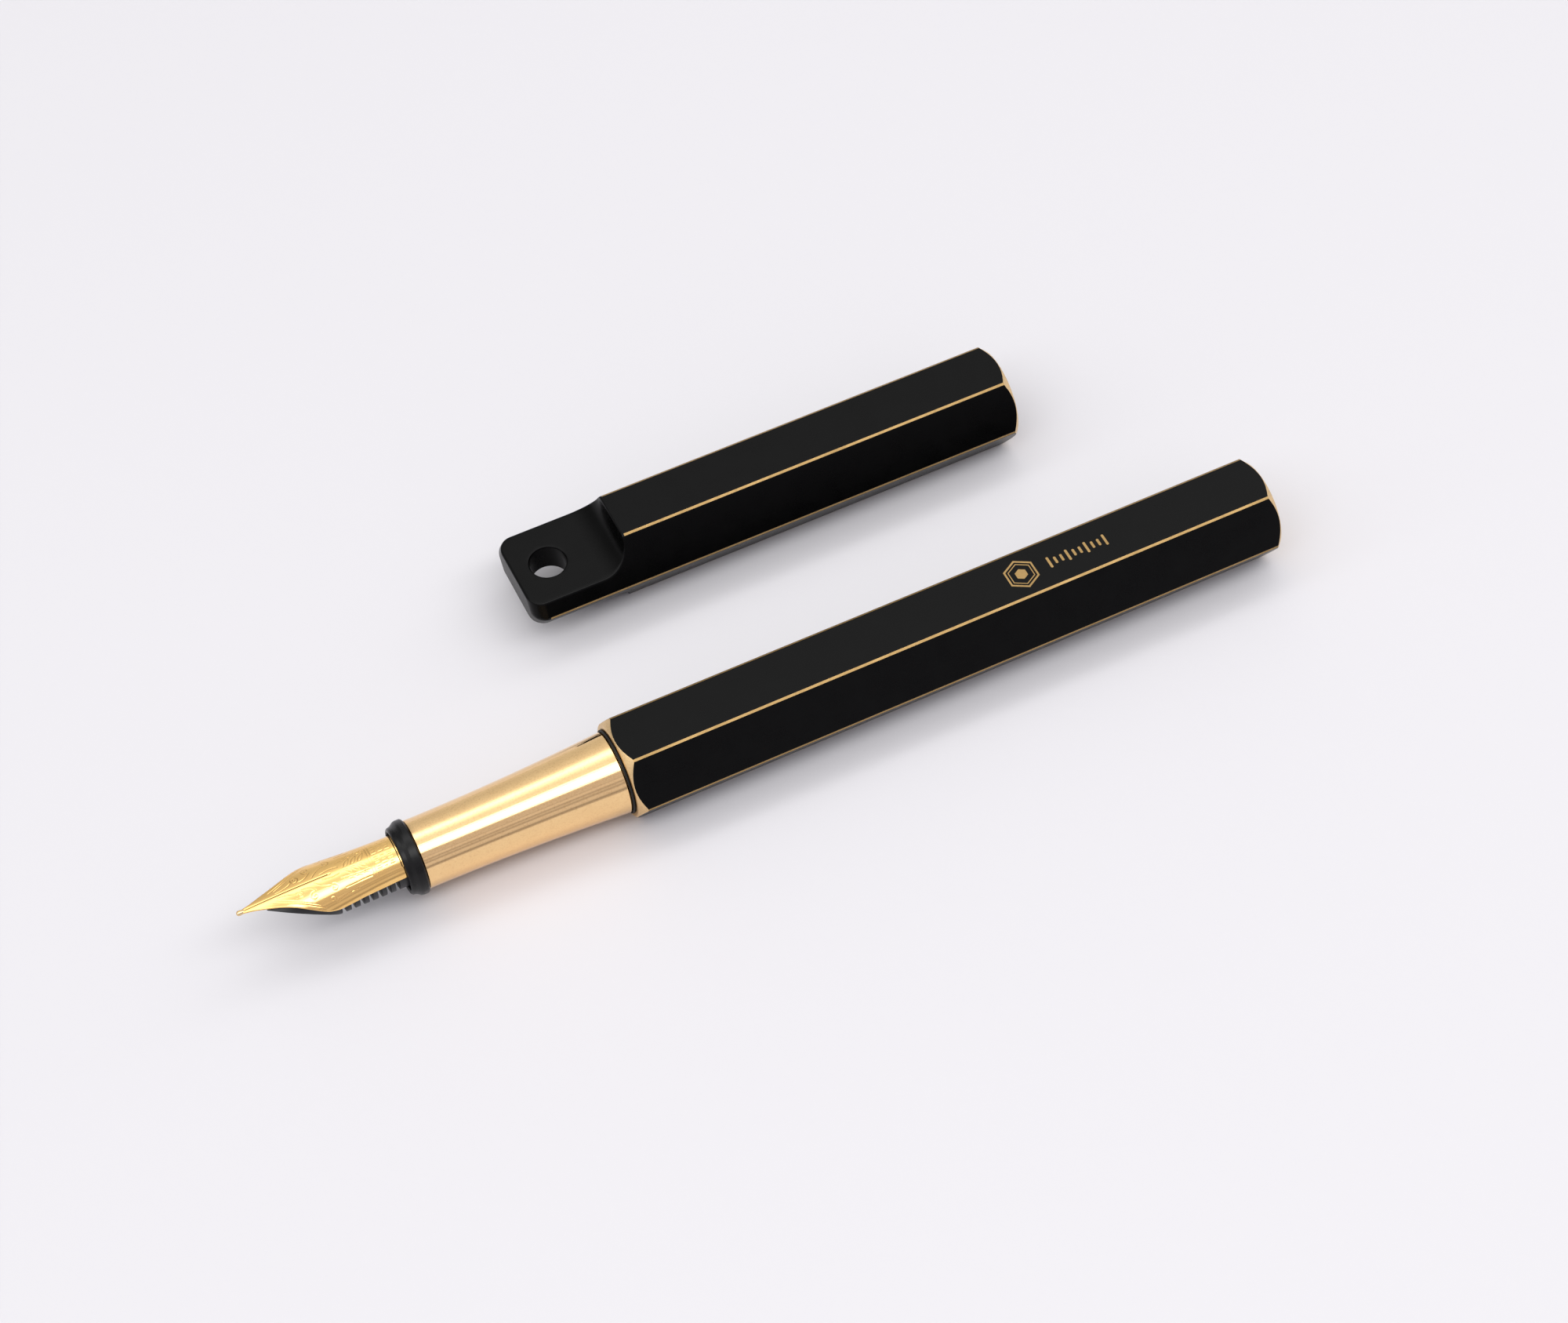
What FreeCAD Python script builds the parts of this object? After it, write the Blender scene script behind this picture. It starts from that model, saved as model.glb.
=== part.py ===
import FreeCAD, Part
import math
import os
import Sketcher
from FreeCAD import Placement, Rotation, Vector

# Fountain pen with a hexagonal brass barrel, a separate hexagonal cap with a
# lanyard tab, a turned brass grip, a screw-in nib unit and a piston converter.
# Millimetres, +Z up.  The pen lies on one flat of its barrel with its axis
# along X, the nib towards -X.  The origin is the centre of that resting flat.
# The cap lies beside the pen, parallel to it, on its +Y side.

doc = FreeCAD.newDocument("fountain_pen")

# ---------------------------------------------------------------- dimensions
# alias, value, note
SIZES = [
    # barrel
    ("across_flats", 11.0, "hexagon across flats, barrel and cap"),
    ("vertex_chamfer", 0.23, "leg of the narrow flat along each hexagon edge"),
    ("barrel_length", 80.5, "barrel, face to face"),
    ("rim_radius", 5.36, "inner edge of the 45 degree end chamfers"),
    ("thread_bore_radius", 4.75, "barrel mouth bore over the grip thread"),
    ("thread_bore_depth", 10.5, "depth of that bore"),
    ("barrel_bore_radius", 4.1, "bore over the converter"),
    ("barrel_bore_depth", 76.5, "depth of that bore"),
    # cap and liner
    ("cap_length", 61.9, "cap, mouth to end of tab"),
    ("cap_mouth_x", 21.75, "X of the cap's mouth plane"),
    ("cap_offset", 28.6, "distance between the pen axis and the cap axis"),
    ("cap_mouth_radius", 5.1, "cap mouth bore that grips the O-ring"),
    ("cap_mouth_depth", 3.5, "depth of that bore"),
    ("cap_bore_radius", 4.95, "cap bore that holds the liner"),
    ("cap_bore_depth", 48.0, "depth of that bore"),
    ("tab_length", 12.3, "from the cap's closed end to the wall of the cut"),
    ("tab_thickness", 3.7, "thickness of the lanyard tab"),
    ("tab_fillet", 3.3, "concave radius at the root of the tab"),
    ("tab_corner", 1.75, "radius of the tab's corners"),
    ("tab_hole_radius", 2.15, "lanyard hole"),
    ("tab_hole_setback", 4.2, "hole centre to the end of the tab"),
    ("tab_hole_chamfer", 0.15, "edge break of the hole"),
    ("liner_start", 14.0, "liner's open end, from the cap's mouth"),
    ("liner_outer", 4.93, "liner outer radius"),
    ("liner_inner", 4.4, "liner inner radius"),
    ("liner_length", 33.9, "liner length"),
    ("liner_wall", 1.4, "liner end wall"),
    # grip and O-ring
    ("grip_front_x", 64.12, "grip front face, ahead of the origin"),
    ("grip_front_radius", 3.94, "grip radius at its front"),
    ("grip_rear_radius", 4.74, "grip radius at its rear shoulder"),
    ("grip_visible", 23.53, "grip front face to its rear shoulder"),
    ("grip_flare_radius", 330.0, "radius of the concave flare"),
    ("neck_radius", 4.6, "neck under the O-ring"),
    ("neck_length", 0.34, "shoulder to the barrel's front face"),
    ("thread_radius", 4.68, "grip thread crest"),
    ("thread_root", 4.35, "grip thread root"),
    ("thread_pitch", 0.75, "grip thread pitch"),
    ("thread_length", 9.25, "threaded length behind the barrel face"),
    ("grip_front_bore", 3.5, "bore for the nib unit"),
    ("grip_front_bore_depth", 10.8, "depth of that bore"),
    ("grip_rear_bore", 3.6, "bore for the converter"),
    ("oring_major", 4.78, "O-ring centre radius"),
    ("oring_minor", 0.14, "O-ring section radius"),
    # nib unit
    ("collar_front_x", 66.1, "front face of the nib unit's collar"),
    ("collar_lip_radius", 3.84, "narrow front lip of the collar"),
    ("collar_bead_radius", 4.3, "bead of the collar, next to the grip"),
    ("collar_lip_length", 1.05, "length of the lip"),
    ("collar_length", 1.93, "collar length outside the grip"),
    ("collar_mouth_radius", 3.4, "mouth of the collar"),
    ("collar_mouth_depth", 0.55, "depth of the wide mouth"),
    ("housing_radius", 3.45, "nib unit sleeve inside the grip"),
    ("housing_bore", 3.07, "sleeve bore for nib and feed"),
    ("housing_bore_depth", 10.2, "depth of that bore"),
    ("housing_length", 12.6, "collar front to the end of the sleeve"),
    ("nipple_radius", 1.22, "ink nipple, fits the converter"),
    ("nipple_length", 5.8, "length of the nipple"),
    ("nipple_bore", 0.6, "ink channel through the nipple"),
    ("nib_tip_x", 84.24, "point of the nib, ahead of the origin"),
    ("nib_thickness", 0.27, "nib sheet"),
    ("nib_ridge", 3.05, "height of the nib's ridge over the axis"),
    ("nib_tail", 25.0, "point to the tail of the nib"),
    ("nib_slit", 0.09, "slit width"),
    ("nib_slit_length", 10.1, "point to the end of the slit"),
    ("tipping_radius", 0.30, "tipping ball"),
    ("feed_radius", 2.76, "feed body"),
    ("feed_core", 1.95, "feed core between the fins"),
    ("feed_tail_radius", 3.05, "snug rear end of the feed"),
    ("feed_front_x", 81.1, "tip of the feed, ahead of the origin"),
    ("feed_length", 24.9, "tip to tail of the feed"),
    ("fin_pitch", 1.03, "pitch of the feed's fins"),
    ("fin_gap", 0.47, "gap between two fins"),
    ("fin_count", 7.0, "number of gaps"),
    # converter
    ("conv_front_x", 53.2, "front of the converter, ahead of the origin"),
    ("conv_radius", 3.45, "converter tube outer radius"),
    ("conv_bore", 2.95, "ink chamber radius"),
    ("conv_mouth", 1.26, "converter mouth over the nipple"),
    ("conv_mouth_depth", 6.0, "length of the mouth"),
    ("conv_tube_length", 43.2, "tube length"),
    ("guide_radius", 2.93, "rod guide, outer"),
    ("guide_length", 4.0, "rod guide length"),
    ("rod_radius", 1.2, "piston rod"),
    ("rod_length", 35.4, "piston rod length"),
    ("rod_clearance", 0.08, "radial clearance round the rod"),
    ("piston_length", 3.5, "piston head length"),
    ("piston_radius", 2.9, "piston head radius"),
    ("seal_radius", 2.93, "lip seal radius"),
    ("seal_groove", 2.3, "bottom of the seal groove"),
    ("seal_length", 1.5, "seal width"),
    ("ferrule_inner", 3.47, "metal band, inner"),
    ("ferrule_outer", 3.66, "metal band, outer"),
    ("ferrule_length", 11.0, "metal band length"),
    ("ferrule_lip", 2.34, "opening in the band's end wall"),
    ("ferrule_wall", 0.6, "band end wall"),
    ("spindle_outer", 1.9, "drive spindle, outer"),
    ("spindle_flange", 2.8, "flange that holds the spindle axially"),
    ("spindle_length", 27.2, "spindle length"),
    ("knob_radius", 3.3, "converter knob"),
    ("knob_length", 20.3, "knob length"),
    ("knob_neck", 2.26, "neck of the knob in the band"),
    ("knob_neck_length", 4.6, "neck length"),
]


class Length:
    """A number that also carries its expression in terms of the sheet."""

    def __init__(self, value, text=None):
        self.value = float(value)
        self.text = text or repr(self.value)

    @staticmethod
    def of(other):
        return other if isinstance(other, Length) else Length(other)

    def joined(self, sign, other, value):
        return Length(value, "(%s %s %s)" % (self.text, sign, other.text))

    def __add__(self, other):
        other = Length.of(other)
        return self.joined("+", other, self.value + other.value)

    def __sub__(self, other):
        other = Length.of(other)
        return self.joined("-", other, self.value - other.value)

    def __mul__(self, other):
        other = Length.of(other)
        return self.joined("*", other, self.value * other.value)

    def __truediv__(self, other):
        other = Length.of(other)
        return self.joined("/", other, self.value / other.value)

    def __neg__(self):
        return Length(-self.value, "(0 - %s)" % self.text)


class Dimensions:
    """Holds each alias of the sheet as a Length attribute."""


dim = Dimensions()
sheet = doc.addObject("Spreadsheet::Sheet", "Sizes")
for row, (alias, value, note) in enumerate(SIZES, start=1):
    sheet.set("A%d" % row, alias)
    sheet.set("B%d" % row, repr(float(value)))
    sheet.set("C%d" % row, note)
    sheet.setAlias("B%d" % row, alias)
    setattr(dim, alias, Length(value, "Sizes." + alias))
doc.recompute()

AXIS_HEIGHT = dim.across_flats / 2
OVERCUT = 1.0                  # how far a cut starts outside the end it opens
parts = {}


# ------------------------------------------------------------ bodies, sketches
def new_body(label, x, y=0):
    """A body whose X axis runs parallel to the pen, at the axis height."""
    body = doc.addObject("PartDesign::Body", label)
    body.Label = label
    place = [Length.of(x), Length.of(y), AXIS_HEIGHT]
    body.Placement = Placement(Vector(*[c.value for c in place]), Rotation())
    for axis, coordinate in zip("xyz", place):
        body.setExpression("Placement.Base." + axis, coordinate.text)
    parts[label] = body
    return body


def origin_feature(body, role):
    return next(f for f in body.Origin.OriginFeatures if f.Role == role)


def new_sketch(body, name, role, turned=0.0):
    """Sketch on one of the body's middle planes, turned about X in degrees."""
    sketch = body.newObject("Sketcher::SketchObject", body.Label + "_" + name)
    sketch.AttachmentSupport = [(origin_feature(body, role), "")]
    sketch.MapMode = "FlatFace"
    if turned:
        sketch.AttachmentOffset = Placement(Vector(), Rotation(Vector(1, 0, 0), turned))
    return sketch


def bind(sketch, index, name, length):
    sketch.renameConstraint(index, name)
    sketch.setExpression("Constraints." + name, length.text)


def pin_point(sketch, geometry, end, u, v, tag):
    """Fix a point at (u, v); a zero coordinate puts it on the sketch's axis."""
    if u.value == 0 and v.value == 0:
        sketch.addConstraint(Sketcher.Constraint("Coincident", geometry, end, -1, 1))
        return
    for length, kind, axis, suffix in ((u, "DistanceX", -2, "x"), (v, "DistanceY", -1, "y")):
        if length.value == 0:
            sketch.addConstraint(Sketcher.Constraint("PointOnObject", geometry, end, axis))
        else:
            index = sketch.addConstraint(
                Sketcher.Constraint(kind, -1, 1, geometry, end, length.value))
            bind(sketch, index, tag + suffix, length)


def fix_radius(sketch, geometry, radius, name):
    index = sketch.addConstraint(Sketcher.Constraint("Radius", geometry, radius.value))
    bind(sketch, index, name, radius)


def arc_between(a, b, radius, side):
    """The shorter arc from a to b, and which of its ends lie on a and b."""
    chord = b - a
    half = chord.Length / 2
    normal = Vector(-chord.y, chord.x, 0).normalize()
    centre = (a + b) * 0.5 + normal * (side * math.sqrt(radius ** 2 - half ** 2))
    angle_a = math.atan2(a.y - centre.y, a.x - centre.x)
    angle_b = math.atan2(b.y - centre.y, b.x - centre.x)
    circle = Part.Circle(centre, Vector(0, 0, 1), radius)
    # arcs are always stored counter-clockwise
    turn = (angle_b - angle_a) % (2 * math.pi)
    if turn <= math.pi:
        return Part.ArcOfCircle(circle, angle_a, angle_a + turn), 1, 2
    return Part.ArcOfCircle(circle, angle_b, angle_b + 2 * math.pi - turn), 2, 1


def add_loop(sketch, points, tag="p"):
    """Closed loop of points (u, v); a point may carry the arc that leads from
    it to the next point: (u, v, radius, side)."""
    corners = [(Length.of(p[0]), Length.of(p[1])) for p in points]
    places = [Vector(u.value, v.value, 0) for u, v in corners]
    count = len(points)
    geometry = []
    for i, point in enumerate(points):
        a, b = places[i], places[(i + 1) % count]
        if len(point) > 2:
            curve, start, end = arc_between(a, b, Length.of(point[2]).value, point[3])
        else:
            curve, start, end = Part.LineSegment(a, b), 1, 2
        geometry.append((sketch.addGeometry(curve, False), start, end))
    for i in range(count):
        following = geometry[(i + 1) % count]
        sketch.addConstraint(Sketcher.Constraint(
            "Coincident", geometry[i][0], geometry[i][2], following[0], following[1]))
    for i, (u, v) in enumerate(corners):
        pin_point(sketch, geometry[i][0], geometry[i][1], u, v, "%s%d" % (tag, i))
    for i, point in enumerate(points):
        if len(point) > 2:
            fix_radius(sketch, geometry[i][0], Length.of(point[2]), "%s%drad" % (tag, i))


def mirrored(points):
    """The loop on the other side of the sketch's horizontal axis."""
    result = []
    for u, v, *arc in points:
        if arc:
            arc = [arc[0], -arc[1]]
        result.append((u, -v, *arc))
    return result


def add_circle(sketch, u, v, radius):
    circle = Part.Circle(Vector(u.value, v.value, 0), Vector(0, 0, 1), radius.value)
    index = sketch.addGeometry(circle, False)
    pin_point(sketch, index, 3, u, v, "centre_")
    fix_radius(sketch, index, radius, "circle_radius")


# -------------------------------------------------------------------- features
def spin(body, name, kind, points):
    """Revolve a closed loop (x, radius) fully about the body's X axis."""
    sketch = new_sketch(body, name, "XZ_Plane")
    add_loop(sketch, points)
    doc.recompute()
    feature = body.newObject("PartDesign::" + kind, "%s_%s_%s" % (body.Label, name, kind))
    feature.Profile = sketch
    feature.ReferenceAxis = (sketch, ["H_Axis"])
    feature.Angle = 360.0
    doc.recompute()


def require_cut(body, volume_before, name):
    if not body.Shape.Volume < volume_before - 1e-6:
        raise RuntimeError("%s cuts nothing" % name)


def groove(body, name, points):
    before = body.Shape.Volume
    spin(body, name, "Groove", points)
    require_cut(body, before, name)


def turned_part(label, x, points, y=0):
    body = new_body(label, x, y)
    spin(body, "profile", "Revolution", points)
    return body


def pocket_both(body, name, role, loops=(), circle=None, width=Length(60.0), turned=0.0):
    """Cut the loops or the circle (u, v, radius) to half the width on each
    side of a middle plane; the default width passes through any body."""
    before = body.Shape.Volume
    sketch = new_sketch(body, name, role, turned)
    for k, loop in enumerate(loops):
        add_loop(sketch, loop, "p%d_" % k)
    if circle:
        add_circle(sketch, *circle)
    doc.recompute()
    cut = body.newObject("PartDesign::Pocket", "%s_%s_pocket" % (body.Label, name))
    cut.Profile = sketch
    cut.Type = 0
    cut.Length = width.value
    cut.setExpression("Length", width.text)
    cut.Midplane = True
    doc.recompute()
    require_cut(body, before, name)
    return cut


def chamfer_edges(body, name, base, size, expected, wanted):
    """Chamfer the edges of base that wanted(bounding box) picks."""
    edges = ["Edge%d" % k for k, edge in enumerate(base.Shape.Edges, start=1)
             if wanted(edge.BoundBox)]
    if len(edges) != expected:
        raise RuntimeError("%s finds %d edges" % (name, len(edges)))
    chamfer = body.newObject("PartDesign::Chamfer", name)
    chamfer.Base = (base, edges)
    chamfer.Size = size.value
    chamfer.setExpression("Size", size.text)
    doc.recompute()


def hexagon_bar(body, length):
    """Hexagonal bar along +X, flats facing up and down, with a narrow flat
    along each of its six long edges."""
    half = Length(1.0 / math.sqrt(3.0)) * dim.across_flats
    quarter = half / 2
    flat = dim.across_flats / 2
    sketch = new_sketch(body, "hexagon", "YZ_Plane")
    add_loop(sketch, [
        (half, 0), (quarter, flat), (-quarter, flat),
        (-half, 0), (-quarter, -flat), (quarter, -flat)])
    doc.recompute()
    pad = body.newObject("PartDesign::Pad", body.Label + "_bar")
    pad.Profile = sketch
    pad.Type = 0
    pad.Length = length.value
    pad.setExpression("Length", length.text)
    doc.recompute()
    chamfer_edges(body, body.Label + "_vertex_flats", pad, dim.vertex_chamfer, 6,
                  lambda box: abs(box.XLength - length.value) < 1e-4)


def end_chamfer(body, name, face, inward):
    """45 degree cone over the hexagon's corners at the end face x = face;
    inward is +1 or -1, the way into the bar."""
    reach = Length(7.5)
    leg = reach - dim.rim_radius
    far = face + leg if inward > 0 else face - leg
    groove(body, name, [(face, dim.rim_radius), (face, reach), (far, reach)])


# -------------------------------------------------------------- barrel shell
def barrel_shell():
    """Local x runs from the open front face to the closed rear."""
    edge = 0.15
    step = 0.6                 # length of the taper between the two bores
    cone = 1.6                 # length of the cone that ends the bore
    length = dim.barrel_length
    body = new_body("barrel_shell", -(length / 2))
    hexagon_bar(body, length)
    end_chamfer(body, "front_chamfer", Length(0), 1)
    end_chamfer(body, "rear_chamfer", length, -1)
    groove(body, "bore", [
        (0, 0),
        (0, dim.thread_bore_radius + edge),
        (edge, dim.thread_bore_radius),
        (dim.thread_bore_depth, dim.thread_bore_radius),
        (dim.thread_bore_depth + step, dim.barrel_bore_radius),
        (dim.barrel_bore_depth - cone, dim.barrel_bore_radius),
        (dim.barrel_bore_depth, 0),
    ])


# ------------------------------------------------------------- cap and liner
def cap_shell():
    """Local x runs from the end of the tab to the mouth."""
    edge = 0.12
    step = 0.4                 # length of the taper between the two bores
    mouth = dim.cap_length
    body = new_body("cap_shell", dim.cap_mouth_x - mouth, dim.cap_offset)
    hexagon_bar(body, mouth)
    end_chamfer(body, "mouth_chamfer", mouth, -1)
    groove(body, "bore", [
        (mouth - dim.cap_bore_depth, 0),
        (mouth - dim.cap_bore_depth, dim.cap_bore_radius),
        (mouth - dim.cap_mouth_depth, dim.cap_bore_radius),
        (mouth - dim.cap_mouth_depth + step, dim.cap_mouth_radius),
        (mouth - edge, dim.cap_mouth_radius),
        (mouth, dim.cap_mouth_radius + edge),
        (mouth, 0),
    ])
    lanyard_tab(body)


def lanyard_tab(body):
    # the bar is cut away above and below the tab
    half = dim.tab_thickness / 2
    wall = dim.tab_length
    fillet = dim.tab_fillet
    above = Length(8.0)
    waste = [(-OVERCUT, half), (wall - fillet, half, fillet, 1), (wall, half + fillet),
             (wall, above), (-OVERCUT, above)]
    pocket_both(body, "tab_top", "XZ_Plane", [waste])
    pocket_both(body, "tab_under", "XZ_Plane", [mirrored(waste)])

    # the end's corners are rounded along each slanting side face
    flat = dim.across_flats / 2
    corner = dim.tab_corner
    outside = flat + 2.0
    waste = [(-OVERCUT, flat - corner), (0, flat - corner, corner, -1), (corner, flat),
             (corner, outside), (-OVERCUT, outside)]
    for name, turned in (("rising", 30.0), ("falling", -30.0)):
        pocket_both(body, "tab_corners_" + name, "XY_Plane", [waste, mirrored(waste)],
                    turned=turned)

    hole = pocket_both(body, "lanyard_hole", "XY_Plane",
                       circle=(dim.tab_hole_setback, Length(0), dim.tab_hole_radius))
    across = 2 * dim.tab_hole_radius.value
    chamfer_edges(body, "cap_hole_edge", hole, dim.tab_hole_chamfer, 2,
                  lambda box: abs(box.XLength - across) < 1e-3
                  and abs(box.YLength - across) < 1e-3 and box.ZLength < 1e-4)


def cap_liner():
    """Local x runs from the closed end to the open end."""
    bevel = 0.5                # outer bevel, and length of the flared opening
    flare = 0.25
    corner = 0.8               # bevel inside the closed end
    length = dim.liner_length
    turned_part("cap_liner", dim.cap_mouth_x - dim.liner_start - length, [
        (0, 0),
        (0, dim.liner_outer - bevel),
        (bevel, dim.liner_outer),
        (length, dim.liner_outer),
        (length, dim.liner_inner + flare),
        (length - bevel, dim.liner_inner),
        (dim.liner_wall + corner, dim.liner_inner),
        (dim.liner_wall, dim.liner_inner - corner),
        (dim.liner_wall, 0),
    ], dim.cap_offset)


# ----------------------------------------------------------- grip and O-ring
def grip_section():
    """Local x runs from the front face to the threaded tail."""
    edge = 0.12
    shoulder_edge = 0.15       # its length along x
    tail_edge = 0.2
    run_in = 0.5               # before the first thread ridge
    plain = 1.2                # threaded length left without ridges
    crest_start, crest_end = 0.44, 0.56    # as parts of the pitch
    shoulder = dim.grip_visible
    thread_start = shoulder + dim.neck_length
    tail = thread_start + dim.thread_length
    pitch = dim.thread_pitch
    turns = int((dim.thread_length.value - plain) / pitch.value)

    outline = [
        (0, dim.grip_front_bore),
        (0, dim.grip_front_radius - edge),
        (edge, dim.grip_front_radius, dim.grip_flare_radius, 1),
        (shoulder - shoulder_edge, dim.grip_rear_radius),
        (shoulder, dim.grip_rear_radius - edge),
        (shoulder, dim.neck_radius),
        (thread_start, dim.neck_radius),
    ]
    # the thread is a row of separate ring ridges
    for k in range(turns):
        base = thread_start + run_in + pitch * k
        outline += [
            (base, dim.thread_root),
            (base + pitch * crest_start, dim.thread_radius),
            (base + pitch * crest_end, dim.thread_radius),
        ]
    outline += [
        (thread_start + run_in + pitch * turns, dim.thread_root),
        (tail - tail_edge, dim.thread_root),
        (tail, dim.thread_root - tail_edge),
        (tail, dim.grip_rear_bore),
        (dim.grip_front_bore_depth, dim.grip_rear_bore),
        (dim.grip_front_bore_depth, dim.grip_front_bore),
    ]
    turned_part("grip_section", -dim.grip_front_x, outline)


def grip_o_ring():
    """Lies midway along the neck between the grip and the barrel."""
    body = new_body("grip_o_ring", -(dim.barrel_length / 2) - dim.neck_length / 2)
    ring = body.newObject("PartDesign::AdditiveTorus", "o_ring_section")
    for name, radius in (("Radius1", dim.oring_major), ("Radius2", dim.oring_minor)):
        setattr(ring, name, radius.value)
        ring.setExpression(name, radius.text)
    ring.AttachmentSupport = [(origin_feature(body, "YZ_Plane"), "")]
    ring.MapMode = "FlatFace"
    doc.recompute()


# ------------------------------------------------------------------ nib unit
def nib_housing():
    """Local x runs from the collar's front face to the end of the nipple."""
    edge = 0.12
    lip_edge = 0.15
    lip_rise = 0.03            # the lip widens slightly towards the bead
    bead_edge = 0.1            # its radial size at the bead's front
    mouth_taper = 0.25
    sleeve_edge = 0.3
    nipple_taper = 0.4
    nipple_drop = 0.25
    lip = dim.collar_lip_length
    collar = dim.collar_length
    sleeve = dim.housing_length
    nipple = sleeve + dim.nipple_length
    turned_part("nib_housing", -dim.collar_front_x, [
        (0, dim.collar_mouth_radius + edge),
        (0, dim.collar_lip_radius - lip_edge),
        (lip_edge, dim.collar_lip_radius),
        (lip - edge, dim.collar_lip_radius + lip_rise),
        (lip, dim.collar_bead_radius - bead_edge),
        (lip + edge, dim.collar_bead_radius),
        (collar - edge, dim.collar_bead_radius),
        (collar, dim.collar_bead_radius - edge),
        (collar, dim.housing_radius),
        (sleeve - sleeve_edge, dim.housing_radius),
        (sleeve, dim.housing_radius - sleeve_edge),
        (sleeve, dim.nipple_radius),
        (nipple - nipple_taper, dim.nipple_radius),
        (nipple, dim.nipple_radius - nipple_drop),
        (nipple, dim.nipple_bore),
        (dim.housing_bore_depth, dim.nipple_bore),
        (dim.housing_bore_depth, dim.housing_bore),
        (dim.collar_mouth_depth + mouth_taper, dim.housing_bore),
        (dim.collar_mouth_depth, dim.collar_mouth_radius),
        (edge, dim.collar_mouth_radius),
    ])


def feed():
    """Local x runs from the tip to the tail; tapered in front."""
    tip_drop, tip_taper = 0.14, 2.2        # the body narrows over the taper
    tail_length, tail_edge = 2.9, 0.3
    fin_setback = 0.35         # rearmost pitch of the fins to the collar's face
    gap_outside = 0.5          # the gaps' cut beyond the body's radius
    length = dim.feed_length
    radius = dim.feed_radius
    tail_start = length - tail_length
    body = turned_part("feed", -dim.feed_front_x, [
        (0, 0),
        (0, radius - tip_drop),
        (tip_taper, radius),
        (tail_start, radius),
        (tail_start, dim.feed_tail_radius),
        (length - tail_edge, dim.feed_tail_radius),
        (length, dim.feed_tail_radius - tail_edge),
        (length, 0),
    ])

    # ring gaps ahead of the collar, from the rearmost one forward
    fins_end = dim.feed_front_x - dim.collar_front_x - fin_setback
    for k in range(int(dim.fin_count.value)):
        front = fins_end - dim.fin_pitch * (k + 1)
        rear = front + dim.fin_gap
        groove(body, "gap%d" % k, [
            (front, dim.feed_core), (front, radius + gap_outside),
            (rear, radius + gap_outside), (rear, dim.feed_core)])

    # the underside sweeps up to a thin tip below the nib
    sweep_end = front - 0.4
    tip_under, sweep_low, below = 2.1, -2.3, -4.0
    pocket_both(body, "underside", "XZ_Plane", [[
        (-OVERCUT, tip_under), (0, tip_under), (sweep_end, sweep_low),
        (sweep_end, below), (-OVERCUT, below)]])

    # both lower flanks close in towards the tip, at 45 degrees
    flank_end = sweep_end + 0.4
    tip_reach, end_reach, outside = 1.62, 2.80, 6.0
    for name, side in (("near_flank", 1), ("far_flank", -1)):
        pocket_both(body, name, "XY_Plane", [[
            (-OVERCUT, side * tip_reach), (flank_end, -side * end_reach),
            (flank_end, -side * outside), (-OVERCUT, -side * outside)]],
            turned=45.0 * side)

    # ink channel along the top
    channel_start, channel_end = 0.8, length - 3.0
    channel_floor, channel_top = 2.0, 4.0
    pocket_both(body, "ink_channel", "XZ_Plane", [[
        (channel_start, channel_floor), (channel_end, channel_floor),
        (channel_end, channel_top), (channel_start, channel_top)]], width=Length(0.3))


# The nib is a curved sheet.  Columns: distance back from the point, half width,
# top of the section relative to the ridge height, radius of the section.
NIB_STATIONS = [
    (0.30, 0.26, -0.22, 4.6),
    (1.20, 0.46, -0.17, 4.6),
    (2.50, 0.86, -0.10, 4.5),
    (4.00, 1.36, -0.03, 4.4),
    (5.50, 1.98, 0.02, 4.3),
    (7.00, 2.70, 0.05, 4.1),
    (8.20, 3.17, 0.06, 3.95),
    (9.00, 3.35, 0.06, 3.85),
    (9.80, 3.39, 0.05, 3.75),
    (11.0, 3.31, 0.04, 3.60),
    (13.0, 3.13, 0.02, 3.36),
    (15.5, 2.98, 0.01, 3.14),
    (17.6, 2.90, 0.0, 3.05),
    (dim.nib_tail.value, 2.90, 0.0, 3.05),
]
FINE_UNTIL = 12.0              # spans ending before this are split in 3, others in 2


def station_slope(i, column):
    """Slope of a column at station i that adds no overshoot between stations."""
    def span_slope(k):
        a, b = NIB_STATIONS[k], NIB_STATIONS[k + 1]
        return (b[column] - a[column]) / (b[0] - a[0])

    if i == 0:
        return span_slope(0)
    if i == len(NIB_STATIONS) - 1:
        return 0.0
    left, right = span_slope(i - 1), span_slope(i)
    return 0.0 if left * right <= 0 else 2 * left * right / (left + right)


def smooth_station(x):
    """Station at x, by cubic interpolation, so the sheet has even facets."""
    k = 0
    while k < len(NIB_STATIONS) - 2 and x > NIB_STATIONS[k + 1][0]:
        k += 1
    start, end = NIB_STATIONS[k], NIB_STATIONS[k + 1]
    span = end[0] - start[0]
    f = (x - start[0]) / span
    station = [x]
    for column in (1, 2, 3):
        station.append((2 * f ** 3 - 3 * f ** 2 + 1) * start[column]
                       + (f ** 3 - 2 * f ** 2 + f) * station_slope(k, column) * span
                       + (-2 * f ** 3 + 3 * f ** 2) * end[column]
                       + (f ** 3 - f ** 2) * station_slope(k + 1, column) * span)
    return station


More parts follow.
